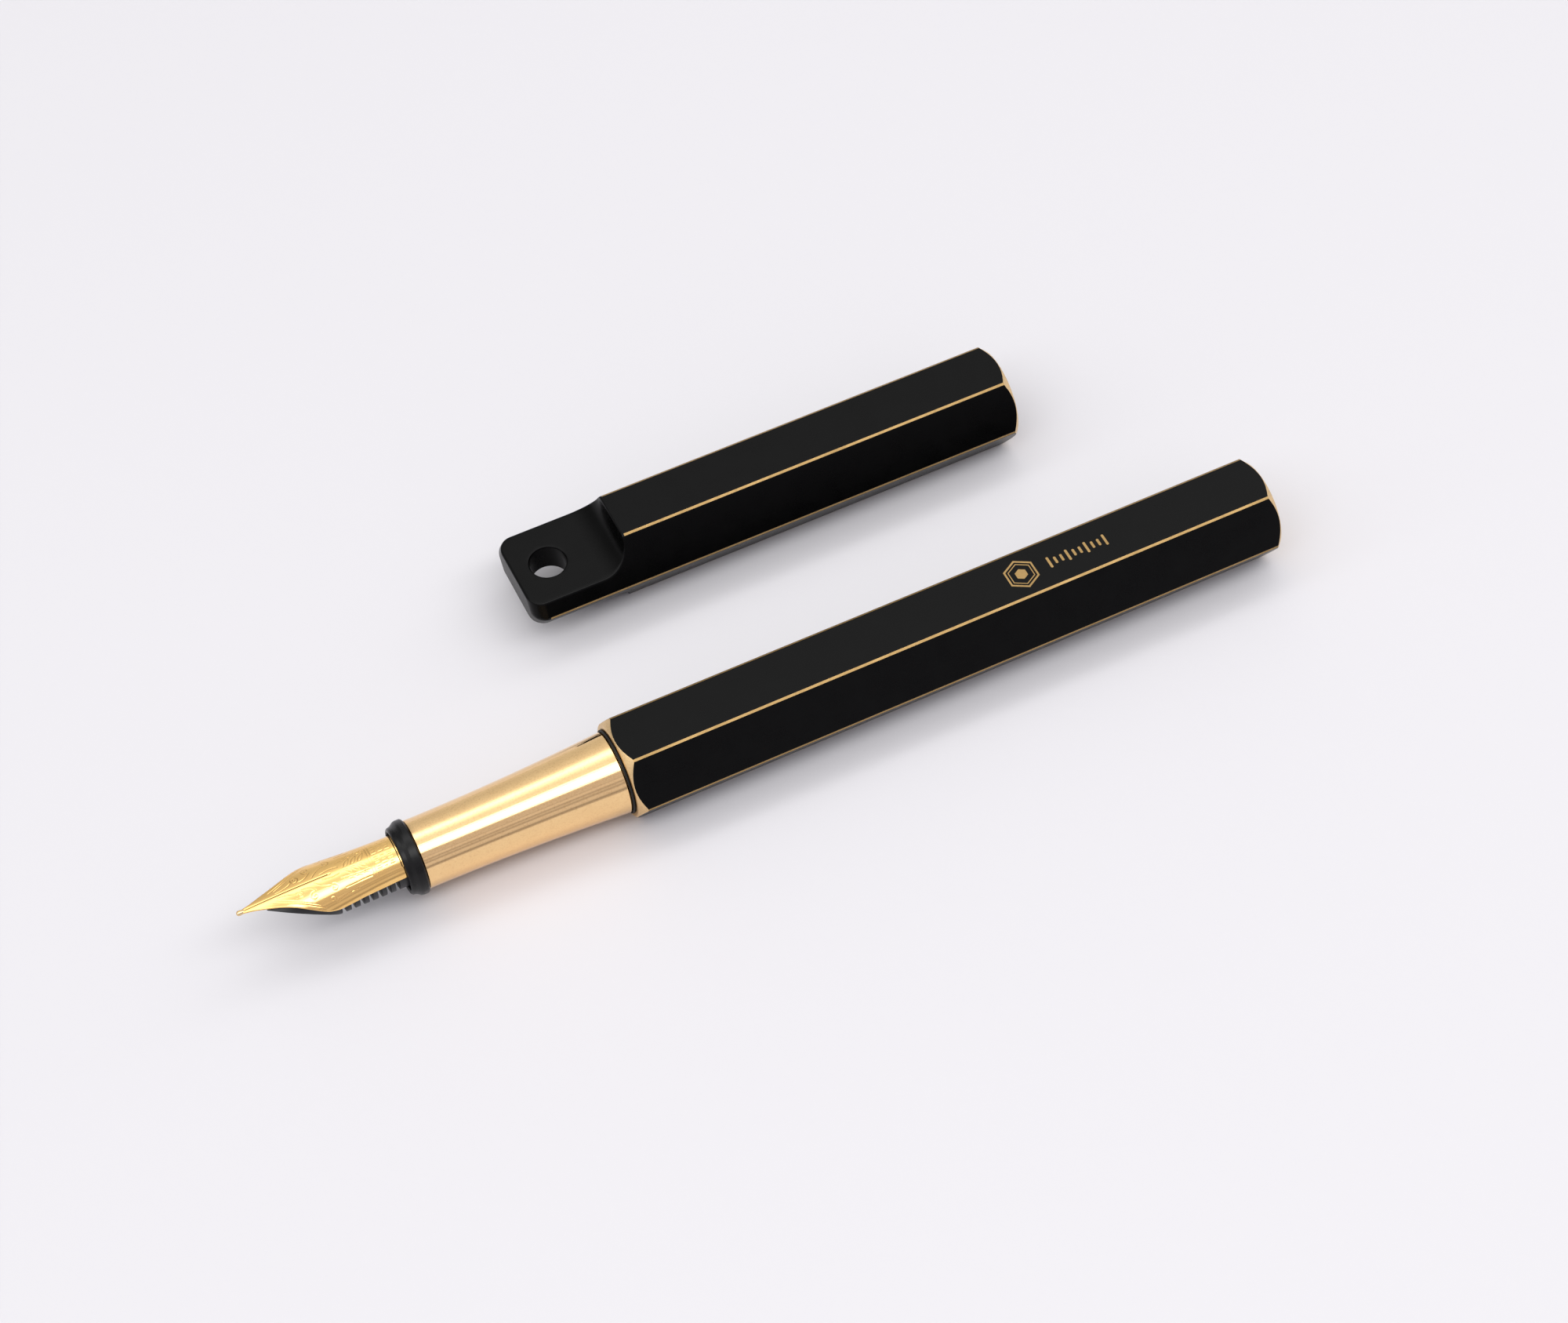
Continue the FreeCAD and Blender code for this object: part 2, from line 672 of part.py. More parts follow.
def nib_section(station, half_width, rise, radius):
    """Closed wire across the sheet: outer arc, side, inner arc, side."""
    x = station - dim.nib_tip_x.value
    centre = AXIS_HEIGHT.value + dim.nib_ridge.value + rise - radius
    inner = radius - dim.nib_thickness.value
    spread = math.asin(min(0.999, half_width / radius))

    def point(r, angle):
        return Vector(x, r * math.sin(angle), centre + r * math.cos(angle))

    def arc(r, start):
        return Part.Arc(point(r, start), point(r, 0), point(r, -start)).toShape()

    return Part.Wire([
        arc(radius, -spread),
        Part.makeLine(point(radius, spread), point(inner, spread)),
        arc(inner, spread),
        Part.makeLine(point(inner, -spread), point(radius, -spread)),
    ])


def add_shape(label, shape):
    feature = doc.addObject("Part::Feature", label)
    feature.Label = label
    feature.Shape = shape
    parts[label] = feature


def nib_and_tipping():
    ball_drop = 0.36           # ridge height to the centre of the tipping ball
    slit_bottom, slit_height = 1.0, 4.0    # the bottom is above the pen's axis
    axis = AXIS_HEIGHT.value
    point_x = -dim.nib_tip_x.value
    slit_width = dim.nib_slit.value
    ball_radius = dim.tipping_radius.value

    stations = []
    for start, end in zip(NIB_STATIONS, NIB_STATIONS[1:]):
        steps = 3 if end[0] < FINE_UNTIL else 2
        stations += [start[0] + (end[0] - start[0]) * j / steps for j in range(steps)]
    stations.append(NIB_STATIONS[-1][0])
    sections = [nib_section(*smooth_station(x)) for x in stations]
    blank = Part.makeLoft(sections, True, True, False)

    ball = Part.makeSphere(ball_radius, Vector(
        point_x + ball_radius, 0, axis + dim.nib_ridge.value - ball_drop))
    slit = Part.makeBox(dim.nib_slit_length.value + OVERCUT, slit_width, slit_height,
                        Vector(point_x - OVERCUT, -slit_width / 2, axis + slit_bottom))
    # the largest solid is the nib
    add_shape("nib", max(blank.cut(slit).cut(ball).Solids, key=lambda solid: solid.Volume))
    # two halves of the tipping, one on each tine
    add_shape("nib_tipping", Part.makeCompound(ball.cut(slit).Solids))


# ----------------------------------------------------------------- converter
# Each piece's local x = 0 is its front; these are the fronts' places.
TUBE_X = -dim.conv_front_x
TUBE_END_X = TUBE_X + dim.conv_tube_length
PISTON_X = TUBE_X + dim.conv_mouth_depth + 0.3
SEAL_START = (dim.piston_length - dim.seal_length) / 2    # from the piston's front
FERRULE_X = TUBE_END_X - 3.0
SPINDLE_X = TUBE_END_X + 0.4
KNOB_X = FERRULE_X + dim.ferrule_length - dim.knob_neck_length + 0.15
ROD_HOLE = dim.rod_radius + dim.rod_clearance
SLIP = 0.01                    # radial gap of the seal in its groove, knob on spindle


def converter_tube():
    bevel = 0.9
    mouth_flare, flare_length = 0.2, 0.3
    length = dim.conv_tube_length
    turned_part("converter_tube", TUBE_X, [
        (0, dim.conv_mouth + mouth_flare),
        (0, dim.conv_radius - bevel),
        (bevel, dim.conv_radius),
        (length, dim.conv_radius),
        (length, dim.conv_bore),
        (dim.conv_mouth_depth, dim.conv_bore),
        (dim.conv_mouth_depth, dim.conv_mouth),
        (flare_length, dim.conv_mouth),
    ])


def converter_guide():
    """Ends flush with the rear of the tube."""
    edge = 0.2
    length = dim.guide_length
    turned_part("converter_guide", TUBE_END_X - length, [
        (0, ROD_HOLE), (0, dim.guide_radius - edge), (edge, dim.guide_radius),
        (length, dim.guide_radius), (length, ROD_HOLE)])


def piston_head():
    bevel = 0.5
    radius = dim.piston_radius
    length = dim.piston_length
    seal_end = SEAL_START + dim.seal_length
    turned_part("piston_head", PISTON_X, [
        (0, 0), (0, radius - bevel), (bevel, radius),
        (SEAL_START, radius), (SEAL_START, dim.seal_groove),
        (seal_end, dim.seal_groove), (seal_end, radius),
        (length, radius), (length, 0)])


def piston_seal():
    """Ring with a lip at each end and a shallow V between them."""
    end_gap = 0.02
    lip = 0.4
    waist_drop = 0.25
    length = dim.seal_length
    inner = dim.seal_groove + SLIP
    radius = dim.seal_radius
    turned_part("piston_seal", PISTON_X + SEAL_START, [
        (end_gap, inner), (end_gap, radius), (lip, radius),
        (length / 2, radius - waist_drop), (length - lip, radius),
        (length - end_gap, radius), (length - end_gap, inner)])


def piston_rod():
    edge = 0.3
    length = dim.rod_length
    turned_part("piston_rod", PISTON_X + dim.piston_length, [
        (0, 0), (0, dim.rod_radius), (length - edge, dim.rod_radius),
        (length, dim.rod_radius - edge), (length, 0)])


def converter_ferrule():
    front_edge, rear_edge = 0.08, 0.25
    length = dim.ferrule_length
    outer = dim.ferrule_outer
    wall_start = length - dim.ferrule_wall
    turned_part("converter_ferrule", FERRULE_X, [
        (0, dim.ferrule_inner), (0, outer - front_edge), (front_edge, outer),
        (length - rear_edge, outer), (length, outer - rear_edge),
        (length, dim.ferrule_lip), (wall_start, dim.ferrule_lip),
        (wall_start, dim.ferrule_inner)])


def converter_spindle():
    """Sleeve round the rod, flanged in front and closed at the rear."""
    flange_length = 1.2
    length = dim.spindle_length
    hole_end = length - 0.8
    turned_part("converter_spindle", SPINDLE_X, [
        (0, ROD_HOLE), (0, dim.spindle_flange), (flange_length, dim.spindle_flange),
        (flange_length, dim.spindle_outer), (length, dim.spindle_outer), (length, 0),
        (hole_end, 0), (hole_end, ROD_HOLE)])


def converter_knob():
    edge = 0.25
    end_taper, end_drop = 1.0, 0.7
    neck = dim.knob_neck_length
    radius = dim.knob_radius
    end = neck + dim.knob_length
    bore = dim.spindle_outer + SLIP
    bore_end = SPINDLE_X - KNOB_X + dim.spindle_length + 0.1
    body = turned_part("converter_knob", KNOB_X, [
        (0, bore), (0, dim.knob_neck), (neck, dim.knob_neck),
        (neck, radius - edge), (neck + edge, radius),
        (end - end_taper, radius), (end, radius - end_drop), (end, 0),
        (bore_end, 0), (bore_end, bore)])
    knob_flutes(body)


def knob_flutes(body):
    """Sixteen shallow flutes round the knob, from a plane behind its neck."""
    flute_radius = Length(0.4)
    flute_centre = dim.knob_radius + 0.22
    flute_plane = dim.knob_neck_length + 1.5
    flute_length = dim.knob_length - 4.0
    least_volume = 0.05
    sketch = new_sketch(body, "flute", "YZ_Plane")
    add_circle(sketch, Length(0), flute_centre, flute_radius)
    sketch.AttachmentOffset = Placement(Vector(0, 0, flute_plane.value), Rotation())
    sketch.setExpression("AttachmentOffset.Base.z", flute_plane.text)
    doc.recompute()
    before = body.Shape.Volume
    flute = body.newObject("PartDesign::Pocket", "knob_flute")
    flute.Profile = sketch
    flute.Type = 0
    flute.Length = flute_length.value
    flute.setExpression("Length", flute_length.text)
    doc.recompute()
    # guards against a pocket that runs away from the knob
    if not body.Shape.Volume < before - least_volume:
        flute.Reversed = True
        doc.recompute()
    pattern = body.newObject("PartDesign::PolarPattern", "knob_flutes")
    pattern.Originals = [flute]
    pattern.Axis = (origin_feature(body, "X_Axis"), [""])
    pattern.Angle = 360.0
    pattern.Occurrences = 16
    body.Tip = pattern
    doc.recompute()


# ---------------------------------------------------------- build and export
for build in (barrel_shell, cap_shell, cap_liner, grip_section, grip_o_ring,
              nib_housing, feed, nib_and_tipping, converter_tube, converter_guide,
              piston_head, piston_seal, piston_rod, converter_ferrule,
              converter_spindle, converter_knob):
    build()
doc.recompute()

problems = []
for item in doc.Objects:
    if "Invalid" in item.State or "Error" in item.State:
        problems.append("%s: %s" % (item.Name, item.State))
for label, part in parts.items():
    if part.Shape.isNull() or not part.Shape.isValid() or part.Shape.Volume <= 0:
        problems.append("%s: bad shape" % label)
if problems:
    raise RuntimeError("; ".join(problems))

os.makedirs("parts", exist_ok=True)
for label, part in parts.items():
    part.Shape.exportStep("parts/%s.step" % label)
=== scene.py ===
import math

import bmesh
import bpy
import numpy as np
from mathutils import Matrix, Vector


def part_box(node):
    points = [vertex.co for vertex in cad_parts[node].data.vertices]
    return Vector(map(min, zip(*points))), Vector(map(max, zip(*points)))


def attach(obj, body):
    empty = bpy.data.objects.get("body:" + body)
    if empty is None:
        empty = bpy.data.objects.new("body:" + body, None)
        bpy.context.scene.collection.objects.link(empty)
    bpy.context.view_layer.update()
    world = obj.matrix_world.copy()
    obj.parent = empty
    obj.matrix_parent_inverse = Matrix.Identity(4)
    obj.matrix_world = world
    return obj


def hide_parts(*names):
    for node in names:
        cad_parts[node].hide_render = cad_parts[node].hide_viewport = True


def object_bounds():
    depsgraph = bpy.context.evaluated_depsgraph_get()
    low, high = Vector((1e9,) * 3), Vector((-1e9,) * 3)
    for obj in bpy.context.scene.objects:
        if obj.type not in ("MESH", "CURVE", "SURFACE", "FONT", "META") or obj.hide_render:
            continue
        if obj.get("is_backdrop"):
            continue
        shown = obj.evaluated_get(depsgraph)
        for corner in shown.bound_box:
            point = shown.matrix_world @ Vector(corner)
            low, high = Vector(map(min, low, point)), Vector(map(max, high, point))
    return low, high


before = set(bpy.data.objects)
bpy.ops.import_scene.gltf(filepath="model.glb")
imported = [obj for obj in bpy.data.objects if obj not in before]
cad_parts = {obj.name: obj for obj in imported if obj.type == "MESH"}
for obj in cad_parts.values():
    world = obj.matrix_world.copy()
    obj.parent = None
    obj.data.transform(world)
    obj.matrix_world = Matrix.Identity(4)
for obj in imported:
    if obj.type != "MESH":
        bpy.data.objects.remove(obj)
cad_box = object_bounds()

MM = 0.001


def limits(piece):
    """Lowest and highest corner of a CAD piece, in mm."""
    low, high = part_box(piece)
    return np.array(low) * 1000.0, np.array(high) * 1000.0


def front(piece):
    """Where a CAD piece starts, at its -X end."""
    return limits(piece)[0][0]


def length(piece):
    low, high = limits(piece)
    return high[0] - low[0]


BARREL_LOW, BARREL_HIGH = limits("barrel_shell")
CAP_LOW, CAP_HIGH = limits("cap_shell")
AXIS_Z = 0.5 * (BARREL_LOW[2] + BARREL_HIGH[2])
CAP_Y = 0.5 * (CAP_LOW[1] + CAP_HIGH[1])
# The hexagon has faces towards +-Z and narrow flats on its vertices, one
# of them towards +Y.
FACE_R = (BARREL_HIGH[2] - BARREL_LOW[2]) / 2     # axis to face
FLAT_R = (BARREL_HIGH[1] - BARREL_LOW[1]) / 2     # axis to vertex flat
SHARP_R = 2 * FACE_R / math.sqrt(3.0)             # axis to unflattened vertex
FLAT_HALF = (SHARP_R - FLAT_R) * math.tan(math.radians(60))


# ------------------------------------------------------------------ mesh tools
def finish_shading(obj, sharp=32.0, weighted=True):
    """Smooth shading with edges over `sharp` degrees kept crisp."""
    mesh = obj.data
    for polygon in mesh.polygons:
        polygon.use_smooth = True
    mesh.set_sharp_from_angle(angle=math.radians(sharp))
    if weighted:
        modifier = obj.modifiers.new("even_shading", "WEIGHTED_NORMAL")
        modifier.keep_sharp = True
        modifier.weight = 50
        modifier.mode = "FACE_AREA_WITH_ANGLE"


def mesh_object(name, verts, faces, materials, index=None, sharp=32.0, merge=2e-5,
                weighted=True):
    """A cleaned and shaded mesh object from millimetre points."""
    mesh = bpy.data.meshes.new(name)
    points = np.asarray(verts, float) * MM
    mesh.from_pydata([tuple(p) for p in points], [], [tuple(f) for f in faces])
    for material in materials:
        mesh.materials.append(material)
    if index is not None:
        mesh.polygons.foreach_set("material_index", np.asarray(index, np.int32))
    bm = bmesh.new()
    bm.from_mesh(mesh)
    bmesh.ops.remove_doubles(bm, verts=bm.verts, dist=merge * MM)
    bmesh.ops.dissolve_degenerate(bm, edges=bm.edges, dist=1e-9)
    bmesh.ops.recalc_face_normals(bm, faces=bm.faces)
    bm.to_mesh(mesh)
    bm.free()
    mesh.update()
    obj = bpy.data.objects.new(name, mesh)
    bpy.context.scene.collection.objects.link(obj)
    finish_shading(obj, sharp, weighted)
    return obj


def register(obj, body, replaced):
    """Put obj under the empty of the body that carries it, and hide the CAD piece it replaces.
    """
    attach(obj, body)
    if replaced:
        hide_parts(replaced)


def build(name, body, replaced, slot, verts, faces, materials, index=None, **shading):
    obj = mesh_object(name, verts, faces, materials, index, **shading)
    register(obj, body, replaced)


def bend(start, corner, end, steps):
    """Points of a quadratic curve that rounds a corner."""
    return [(1 - f) ** 2 * start + 2 * f * (1 - f) * corner + f * f * end
            for f in (j / steps for j in range(steps + 1))]


def soften(points, radius=0.08, steps=3, closed=True):
    """Round the corners of a profile of (x, r, tag[, radius]) points.  A
    point's tag belongs to the edge that leaves it."""
    count = len(points)
    out = []
    for i, point in enumerate(points):
        x, r, tag = point[:3]
        corner_radius = point[3] if len(point) > 3 else radius
        if not closed and i in (0, count - 1):
            out.append((x, r, tag))
            continue
        before = points[(i - 1) % count]
        after = points[(i + 1) % count]
        back = np.array([before[0] - x, before[1] - r])
        ahead = np.array([after[0] - x, after[1] - r])
        back_len, ahead_len = np.linalg.norm(back), np.linalg.norm(ahead)
        if back_len < 1e-6 or ahead_len < 1e-6:
            continue
        back, ahead = back / back_len, ahead / ahead_len
        turn = math.pi - math.acos(float(np.clip(back @ ahead, -1, 1)))
        if turn < math.radians(9):
            out.append((x, r, tag))
            continue
        trim = min(corner_radius * math.tan(turn / 2), 0.42 * back_len, 0.42 * ahead_len)
        corner = np.array([x, r])
        k = max(2, int(round(steps * turn / math.radians(90))) + 1)
        curve = bend(corner + back * trim, corner, corner + ahead * trim, k)
        for j, q in enumerate(curve):
            # the tag switches at the middle of the rounding
            out.append((q[0], q[1], before[2] if j / k < 0.5 else tag))
    return out


def between(a, b, parts):
    """The points that divide edge a-b of a profile into equal parts."""
    return [(a[0] + (b[0] - a[0]) * j / parts, a[1] + (b[1] - a[1]) * j / parts, a[2])
            for j in range(1, parts)]


def split_long(points, longest, closed):
    """Extra points along long straight edges, for even quads."""
    out = []
    count = len(points)
    for i in range(count if closed else count - 1):
        a, b = points[i], points[(i + 1) % count]
        out.append(a)
        out += between(a, b, int(math.hypot(b[0] - a[0], b[1] - a[1]) / longest) + 1)
    if not closed:
        out.append(points[-1])
    return out


def lathe(points, segments=128, closed=True, axis_y=0.0, radial=None):
    """Revolve (x, r, tag) points about a line along X.  radial may change the
    radius: f(x, r, angle, tag).  Returns verts, faces and the faces' tags."""
    angles = np.linspace(0, 2 * math.pi, segments, endpoint=False)
    verts, faces, tags, rings = [], [], [], []
    for x, r, tag in points:
        if r < 1e-6:
            rings.append([len(verts)])
            verts.append((x, axis_y, AXIS_Z))
            continue
        ring = []
        for angle in angles:
            radius = r if radial is None else radial(x, r, angle, tag)
            ring.append(len(verts))
            verts.append((x, axis_y + radius * math.sin(angle),
                          AXIS_Z + radius * math.cos(angle)))
        rings.append(ring)
    count = len(points)
    for i in range(count if closed else count - 1):
        a, b = rings[i], rings[(i + 1) % count]
        if len(a) == 1 and len(b) == 1:
            continue
        for j in range(segments):
            k = (j + 1) % segments
            if len(a) == 1:
                faces.append((a[0], b[j], b[k]))
            elif len(b) == 1:
                faces.append((a[j], b[0], a[k]))
            else:
                faces.append((a[j], b[j], b[k], a[k]))
            tags.append(points[i][2])
    return verts, faces, tags


def turned(name, body, replaced, slot, material, start, outline, radius=0.08, steps=3,
           segments=128, closed=True, axis_y=0.0, longest=3.0):
    """A turned piece from (x past start, r[, corner radius]) points."""
    profile = [(start + p[0], p[1], 0, *p[2:]) for p in outline]
    profile = split_long(soften(profile, radius, steps, closed), longest, closed)
    verts, faces, index = lathe(profile, segments, closed, axis_y)
    build(name, body, replaced, slot, verts, faces, [material], index)


def band(i, count, base=0):
    """Quads that join ring i to ring i + 1, each of `count` points."""
    a, b = base + i * count, base + (i + 1) * count
    return [(a + j, a + (j + 1) % count, b + (j + 1) % count, b + j) for j in range(count)]


def skin(bands):
    """Join (ring, slots) pairs; slots is the material of the band that follows
    the ring, one number or one for each column."""
    count = len(bands[0][0])
    faces, index = [], []
    for i, (_, slots) in enumerate(bands[:-1]):
        faces += band(i, count)
        index += list(np.broadcast_to(slots, count))
    return np.vstack([ring for ring, _ in bands]), faces, index


# ------------------------------------------------------------------- materials
class Graph:
    """Short calls for making and linking shader nodes."""

    def __init__(self, owner):
        owner.use_nodes = True
        self.tree = owner.node_tree
        self.tree.nodes.clear()

    def node(self, kind, **props):
        node = self.tree.nodes.new(kind)
        for key, value in props.items():
            setattr(node, key, value)
        return node

    def put(self, socket, value):
        """Link a socket to another, or give it a value."""
        if isinstance(value, bpy.types.NodeSocket):
            self.tree.links.new(value, socket)
        else:
            socket.default_value = value

    def ramp(self, value, span, to=(0.0, 1.0), **props):
        node = self.node("ShaderNodeMapRange", clamp=True, **props)
        self.put(node.inputs["Value"], value)
        node.inputs["From Min"].default_value, node.inputs["From Max"].default_value = span
        node.inputs["To Min"].default_value, node.inputs["To Max"].default_value = to
        return node.outputs[0]

    def math(self, operation, a, b):
        node = self.node("ShaderNodeMath", operation=operation)
        self.put(node.inputs[0], a)
        self.put(node.inputs[1], b)
        return node.outputs[0]

    def add(self, a, b):
        return self.math("ADD", a, b)

    def times(self, a, by):
        return self.math("MULTIPLY", a, by)


class Surface(Graph):
    """A Principled material whose textures use object coordinates times
    `units`: 1000 for millimetres."""

    def __init__(self, name, units=1000):
        self.material = bpy.data.materials.new(name)
        super().__init__(self.material)
        output = self.node("ShaderNodeOutputMaterial")
        self.shader = self.node("ShaderNodeBsdfPrincipled")
        self.put(output.inputs["Surface"], self.shader.outputs[0])
        coords = self.node("ShaderNodeTexCoord").outputs["Object"]
        self.coord = self.mapping(coords, (units, units, units))

    def mapping(self, vector, scale, offset=(0, 0, 0)):
        node = self.node("ShaderNodeMapping")
        self.put(node.inputs["Vector"], vector)
        node.inputs["Scale"].default_value = scale
        node.inputs["Location"].default_value = offset
        return node.outputs[0]

    def noise(self, scale=1.0, detail=3.0, rough=0.5, stretch=(1, 1, 1), offset=(0, 0, 0)):
        node = self.node("ShaderNodeTexNoise")
        self.put(node.inputs["Vector"], self.mapping(self.coord, stretch, offset))
        node.inputs["Scale"].default_value = scale
        node.inputs["Detail"].default_value = detail
        node.inputs["Roughness"].default_value = rough
        return node.outputs[0]

    def cells(self, scale):
        node = self.node("ShaderNodeTexVoronoi")
        self.put(node.inputs["Vector"], self.mapping(self.coord, (1, 1, 1)))
        node.inputs["Scale"].default_value = scale
        return node.outputs["Distance"]

    def mix(self, factor, a, b):
        node = self.node("ShaderNodeMix", data_type="RGBA")
        self.put(node.inputs[0], factor)
        for socket, color in ((node.inputs[6], a), (node.inputs[7], b)):
            self.put(socket, (*color, 1.0) if isinstance(color, tuple) else color)
        return node.outputs[2]

    def blend(self, base, other, mask, amount):
        """Base colour with `amount` of another where the mask is 1."""
        return self.mix(self.times(mask, amount), base, other)

    def bump(self, height, strength, depth):
        """Depth in mm."""
        node = self.node("ShaderNodeBump")
        node.inputs["Strength"].default_value = strength
        node.inputs["Distance"].default_value = depth * MM
        self.put(node.inputs["Height"], height)
        return node.outputs[0]

    def finish(self, color, rough, metal, normal, **more):
        values = {"Base Color": color, "Roughness": rough, "Metallic": metal,
                  "Normal": normal}
        values.update((key.replace("_", " "), value) for key, value in more.items())
        for key, value in values.items():
            self.put(self.shader.inputs[key], value)
        return self.material


def shade(color, factors):
    return tuple(c * f for c, f in zip(color, factors))


def lacquer():
    s = Surface("black_lacquer")
    cloud = s.noise(scale=0.35, detail=3, rough=0.55)
    fine = s.noise(scale=9.0, detail=4, rough=0.6)
    drag = s.noise(scale=2.2, detail=4, rough=0.6, stretch=(0.12, 3.0, 3.0))
    lines = s.noise(scale=3.0, detail=2, rough=0.4, stretch=(0.05, 9.0, 9.0), offset=(3, 1, 7))
    scratch = s.ramp(lines, span=(0.68, 0.74))
    dust = s.ramp(s.cells(scale=1.1), span=(0.045, 0.02))
    color = s.mix(s.ramp(cloud, span=(0.3, 0.7)), (0.0003, 0.0003, 0.0003),
                  (0.0007, 0.0007, 0.0007))
    color = s.blend(color, (0.004, 0.0037, 0.0033), scratch, amount=0.25)
    color = s.blend(color, (0.012, 0.012, 0.012), dust, amount=0.15)
    rough = s.ramp(cloud, span=(0.25, 0.75), to=(0.26, 0.32))
    rough = s.add(rough, s.ramp(fine, span=(0.3, 0.7), to=(-0.02, 0.02)))
    rough = s.add(rough, s.times(scratch, by=0.12))
    height = s.add(s.times(fine, by=0.4), s.times(drag, by=0.6))
    normal = s.bump(height, strength=0.35, depth=0.004)
    return s.finish(color, rough, 0.0, normal, Specular_IOR_Level=0.108)


def brass(name, tint, dark, rough, drawn=False, depth=0.0016, mottle=0.35):
    """Bare brass with tool marks: rings round the axis, or lines along the
    pen where it is drawn.  rough is the range of roughness."""
    s = Surface(name)
    cloud = s.noise(scale=0.5, detail=4, rough=0.55)
    spots = s.ramp(s.noise(scale=2.6, detail=3, rough=0.6, offset=(5, 2, 1)), span=(0.62, 0.75))
    marks_stretch, wide_stretch = (14.0, 0.35, 0.35), (3.0, 0.1, 0.1)
    if drawn:
        marks_stretch, wide_stretch = (0.3, 16.0, 16.0), (0.15, 4.0, 4.0)
    marks = s.noise(detail=3, rough=0.7, stretch=marks_stretch)
    wide = s.noise(detail=2, rough=0.5, stretch=wide_stretch, offset=(9, 0, 0))
    grain = s.noise(scale=4.5, detail=4, rough=0.75, offset=(3, 8, 2))
    color = s.blend(tint, dark, s.ramp(cloud, span=(0.35, 0.8)), amount=mottle)
    color = s.blend(color, shade(dark, (0.7, 0.62, 0.5)), spots, amount=0.12)
    color = s.blend(color, dark, s.ramp(marks, span=(0.35, 0.75)), amount=0.16)
    color = s.blend(color, shade(dark, (0.80, 0.76, 0.70)), s.ramp(grain, span=(0.50, 0.66)),
                    amount=0.42)
    roughness = s.add(s.ramp(cloud, span=(0.25, 0.75), to=rough),
                      s.ramp(marks, span=(0.3, 0.7), to=(-0.03, 0.05)))
    height = s.add(s.times(marks, by=0.7), s.times(wide, by=0.5))
    height = s.add(height, s.times(grain, by=0.35))
    return s.finish(color, roughness, 1.0, s.bump(height, strength=0.5, depth=depth))


def gold(name, tint, dark, rough):
    s = Surface(name)
    cloud = s.noise(scale=0.7, detail=4, rough=0.55)
    fine = s.noise(detail=3, rough=0.6, stretch=(1.2, 12, 12))
    color = s.blend(tint, dark, s.ramp(cloud, span=(0.3, 0.8)), amount=0.4)
    color = s.blend(color, dark, s.ramp(fine, span=(0.45, 0.8)), amount=0.12)
    roughness = s.add(s.ramp(cloud, span=(0.25, 0.75), to=rough),
                      s.ramp(fine, span=(0.3, 0.7), to=(-0.02, 0.03)))
    height = s.add(s.times(fine, by=0.5), s.noise(scale=6.0, detail=3, rough=0.6))
    return s.finish(color, roughness, 1.0, s.bump(height, strength=0.3, depth=0.0014))


def steel(name, tint, dark, rough):
    s = Surface(name)
    cloud = s.noise(scale=0.6, detail=3, rough=0.5)
    marks = s.noise(detail=3, rough=0.7, stretch=(12.0, 0.3, 0.3))
    color = s.blend(tint, dark, s.ramp(cloud, span=(0.3, 0.8)), amount=0.3)
    roughness = s.add(s.ramp(cloud, span=(0.25, 0.75), to=rough),
                      s.ramp(marks, span=(0.3, 0.7), to=(-0.03, 0.05)))
    return s.finish(color, roughness, 1.0, s.bump(marks, strength=0.4, depth=0.0016))


def plastic(name, low, high, rough, specular, depth, marks=0.0):
    """Colour clouds between low and high; marks adds rings round the axis."""
    s = Surface(name)
    cloud = s.noise(scale=0.6, detail=3, rough=0.55)
    fine = s.noise(scale=11.0, detail=4, rough=0.6)
    scuff = s.ramp(s.noise(scale=1.6, detail=3, rough=0.5, stretch=(0.6, 5, 5),
                           offset=(1, 4, 2)), span=(0.66, 0.76))
    color = s.mix(s.ramp(cloud, span=(0.3, 0.7)), low, high)
    scuffed = tuple(min(1.0, c * 2.5 + 0.004) for c in high)
    color = s.blend(color, scuffed, scuff, amount=0.3)
    roughness = s.add(s.ramp(cloud, span=(0.25, 0.75), to=rough),
                      s.ramp(fine, span=(0.3, 0.7), to=(-0.03, 0.03)))
    roughness = s.add(roughness, s.times(scuff, by=0.1))
    height = fine
    if marks:
        rings = s.noise(detail=2, rough=0.6, stretch=(9.0, 0.3, 0.3))
        height = s.add(fine, s.times(rings, by=marks))
    normal = s.bump(height, strength=0.4, depth=depth)
    return s.finish(color, roughness, 0.0, normal, Specular_IOR_Level=specular)


def clear(name):
    s = Surface(name)
    cloud = s.noise(scale=0.4, detail=3, rough=0.5)
    flow = s.noise(detail=2, rough=0.5, stretch=(0.25, 1.6, 1.6))
    color = s.mix(s.ramp(cloud, span=(0.3, 0.7)), (0.93, 0.95, 0.96), (0.86, 0.89, 0.92))
    rough = s.ramp(cloud, span=(0.3, 0.7), to=(0.03, 0.09))
    normal = s.bump(flow, strength=0.25, depth=0.006)
    return s.finish(color, rough, 0.0, normal, Transmission_Weight=0.96, IOR=1.49)


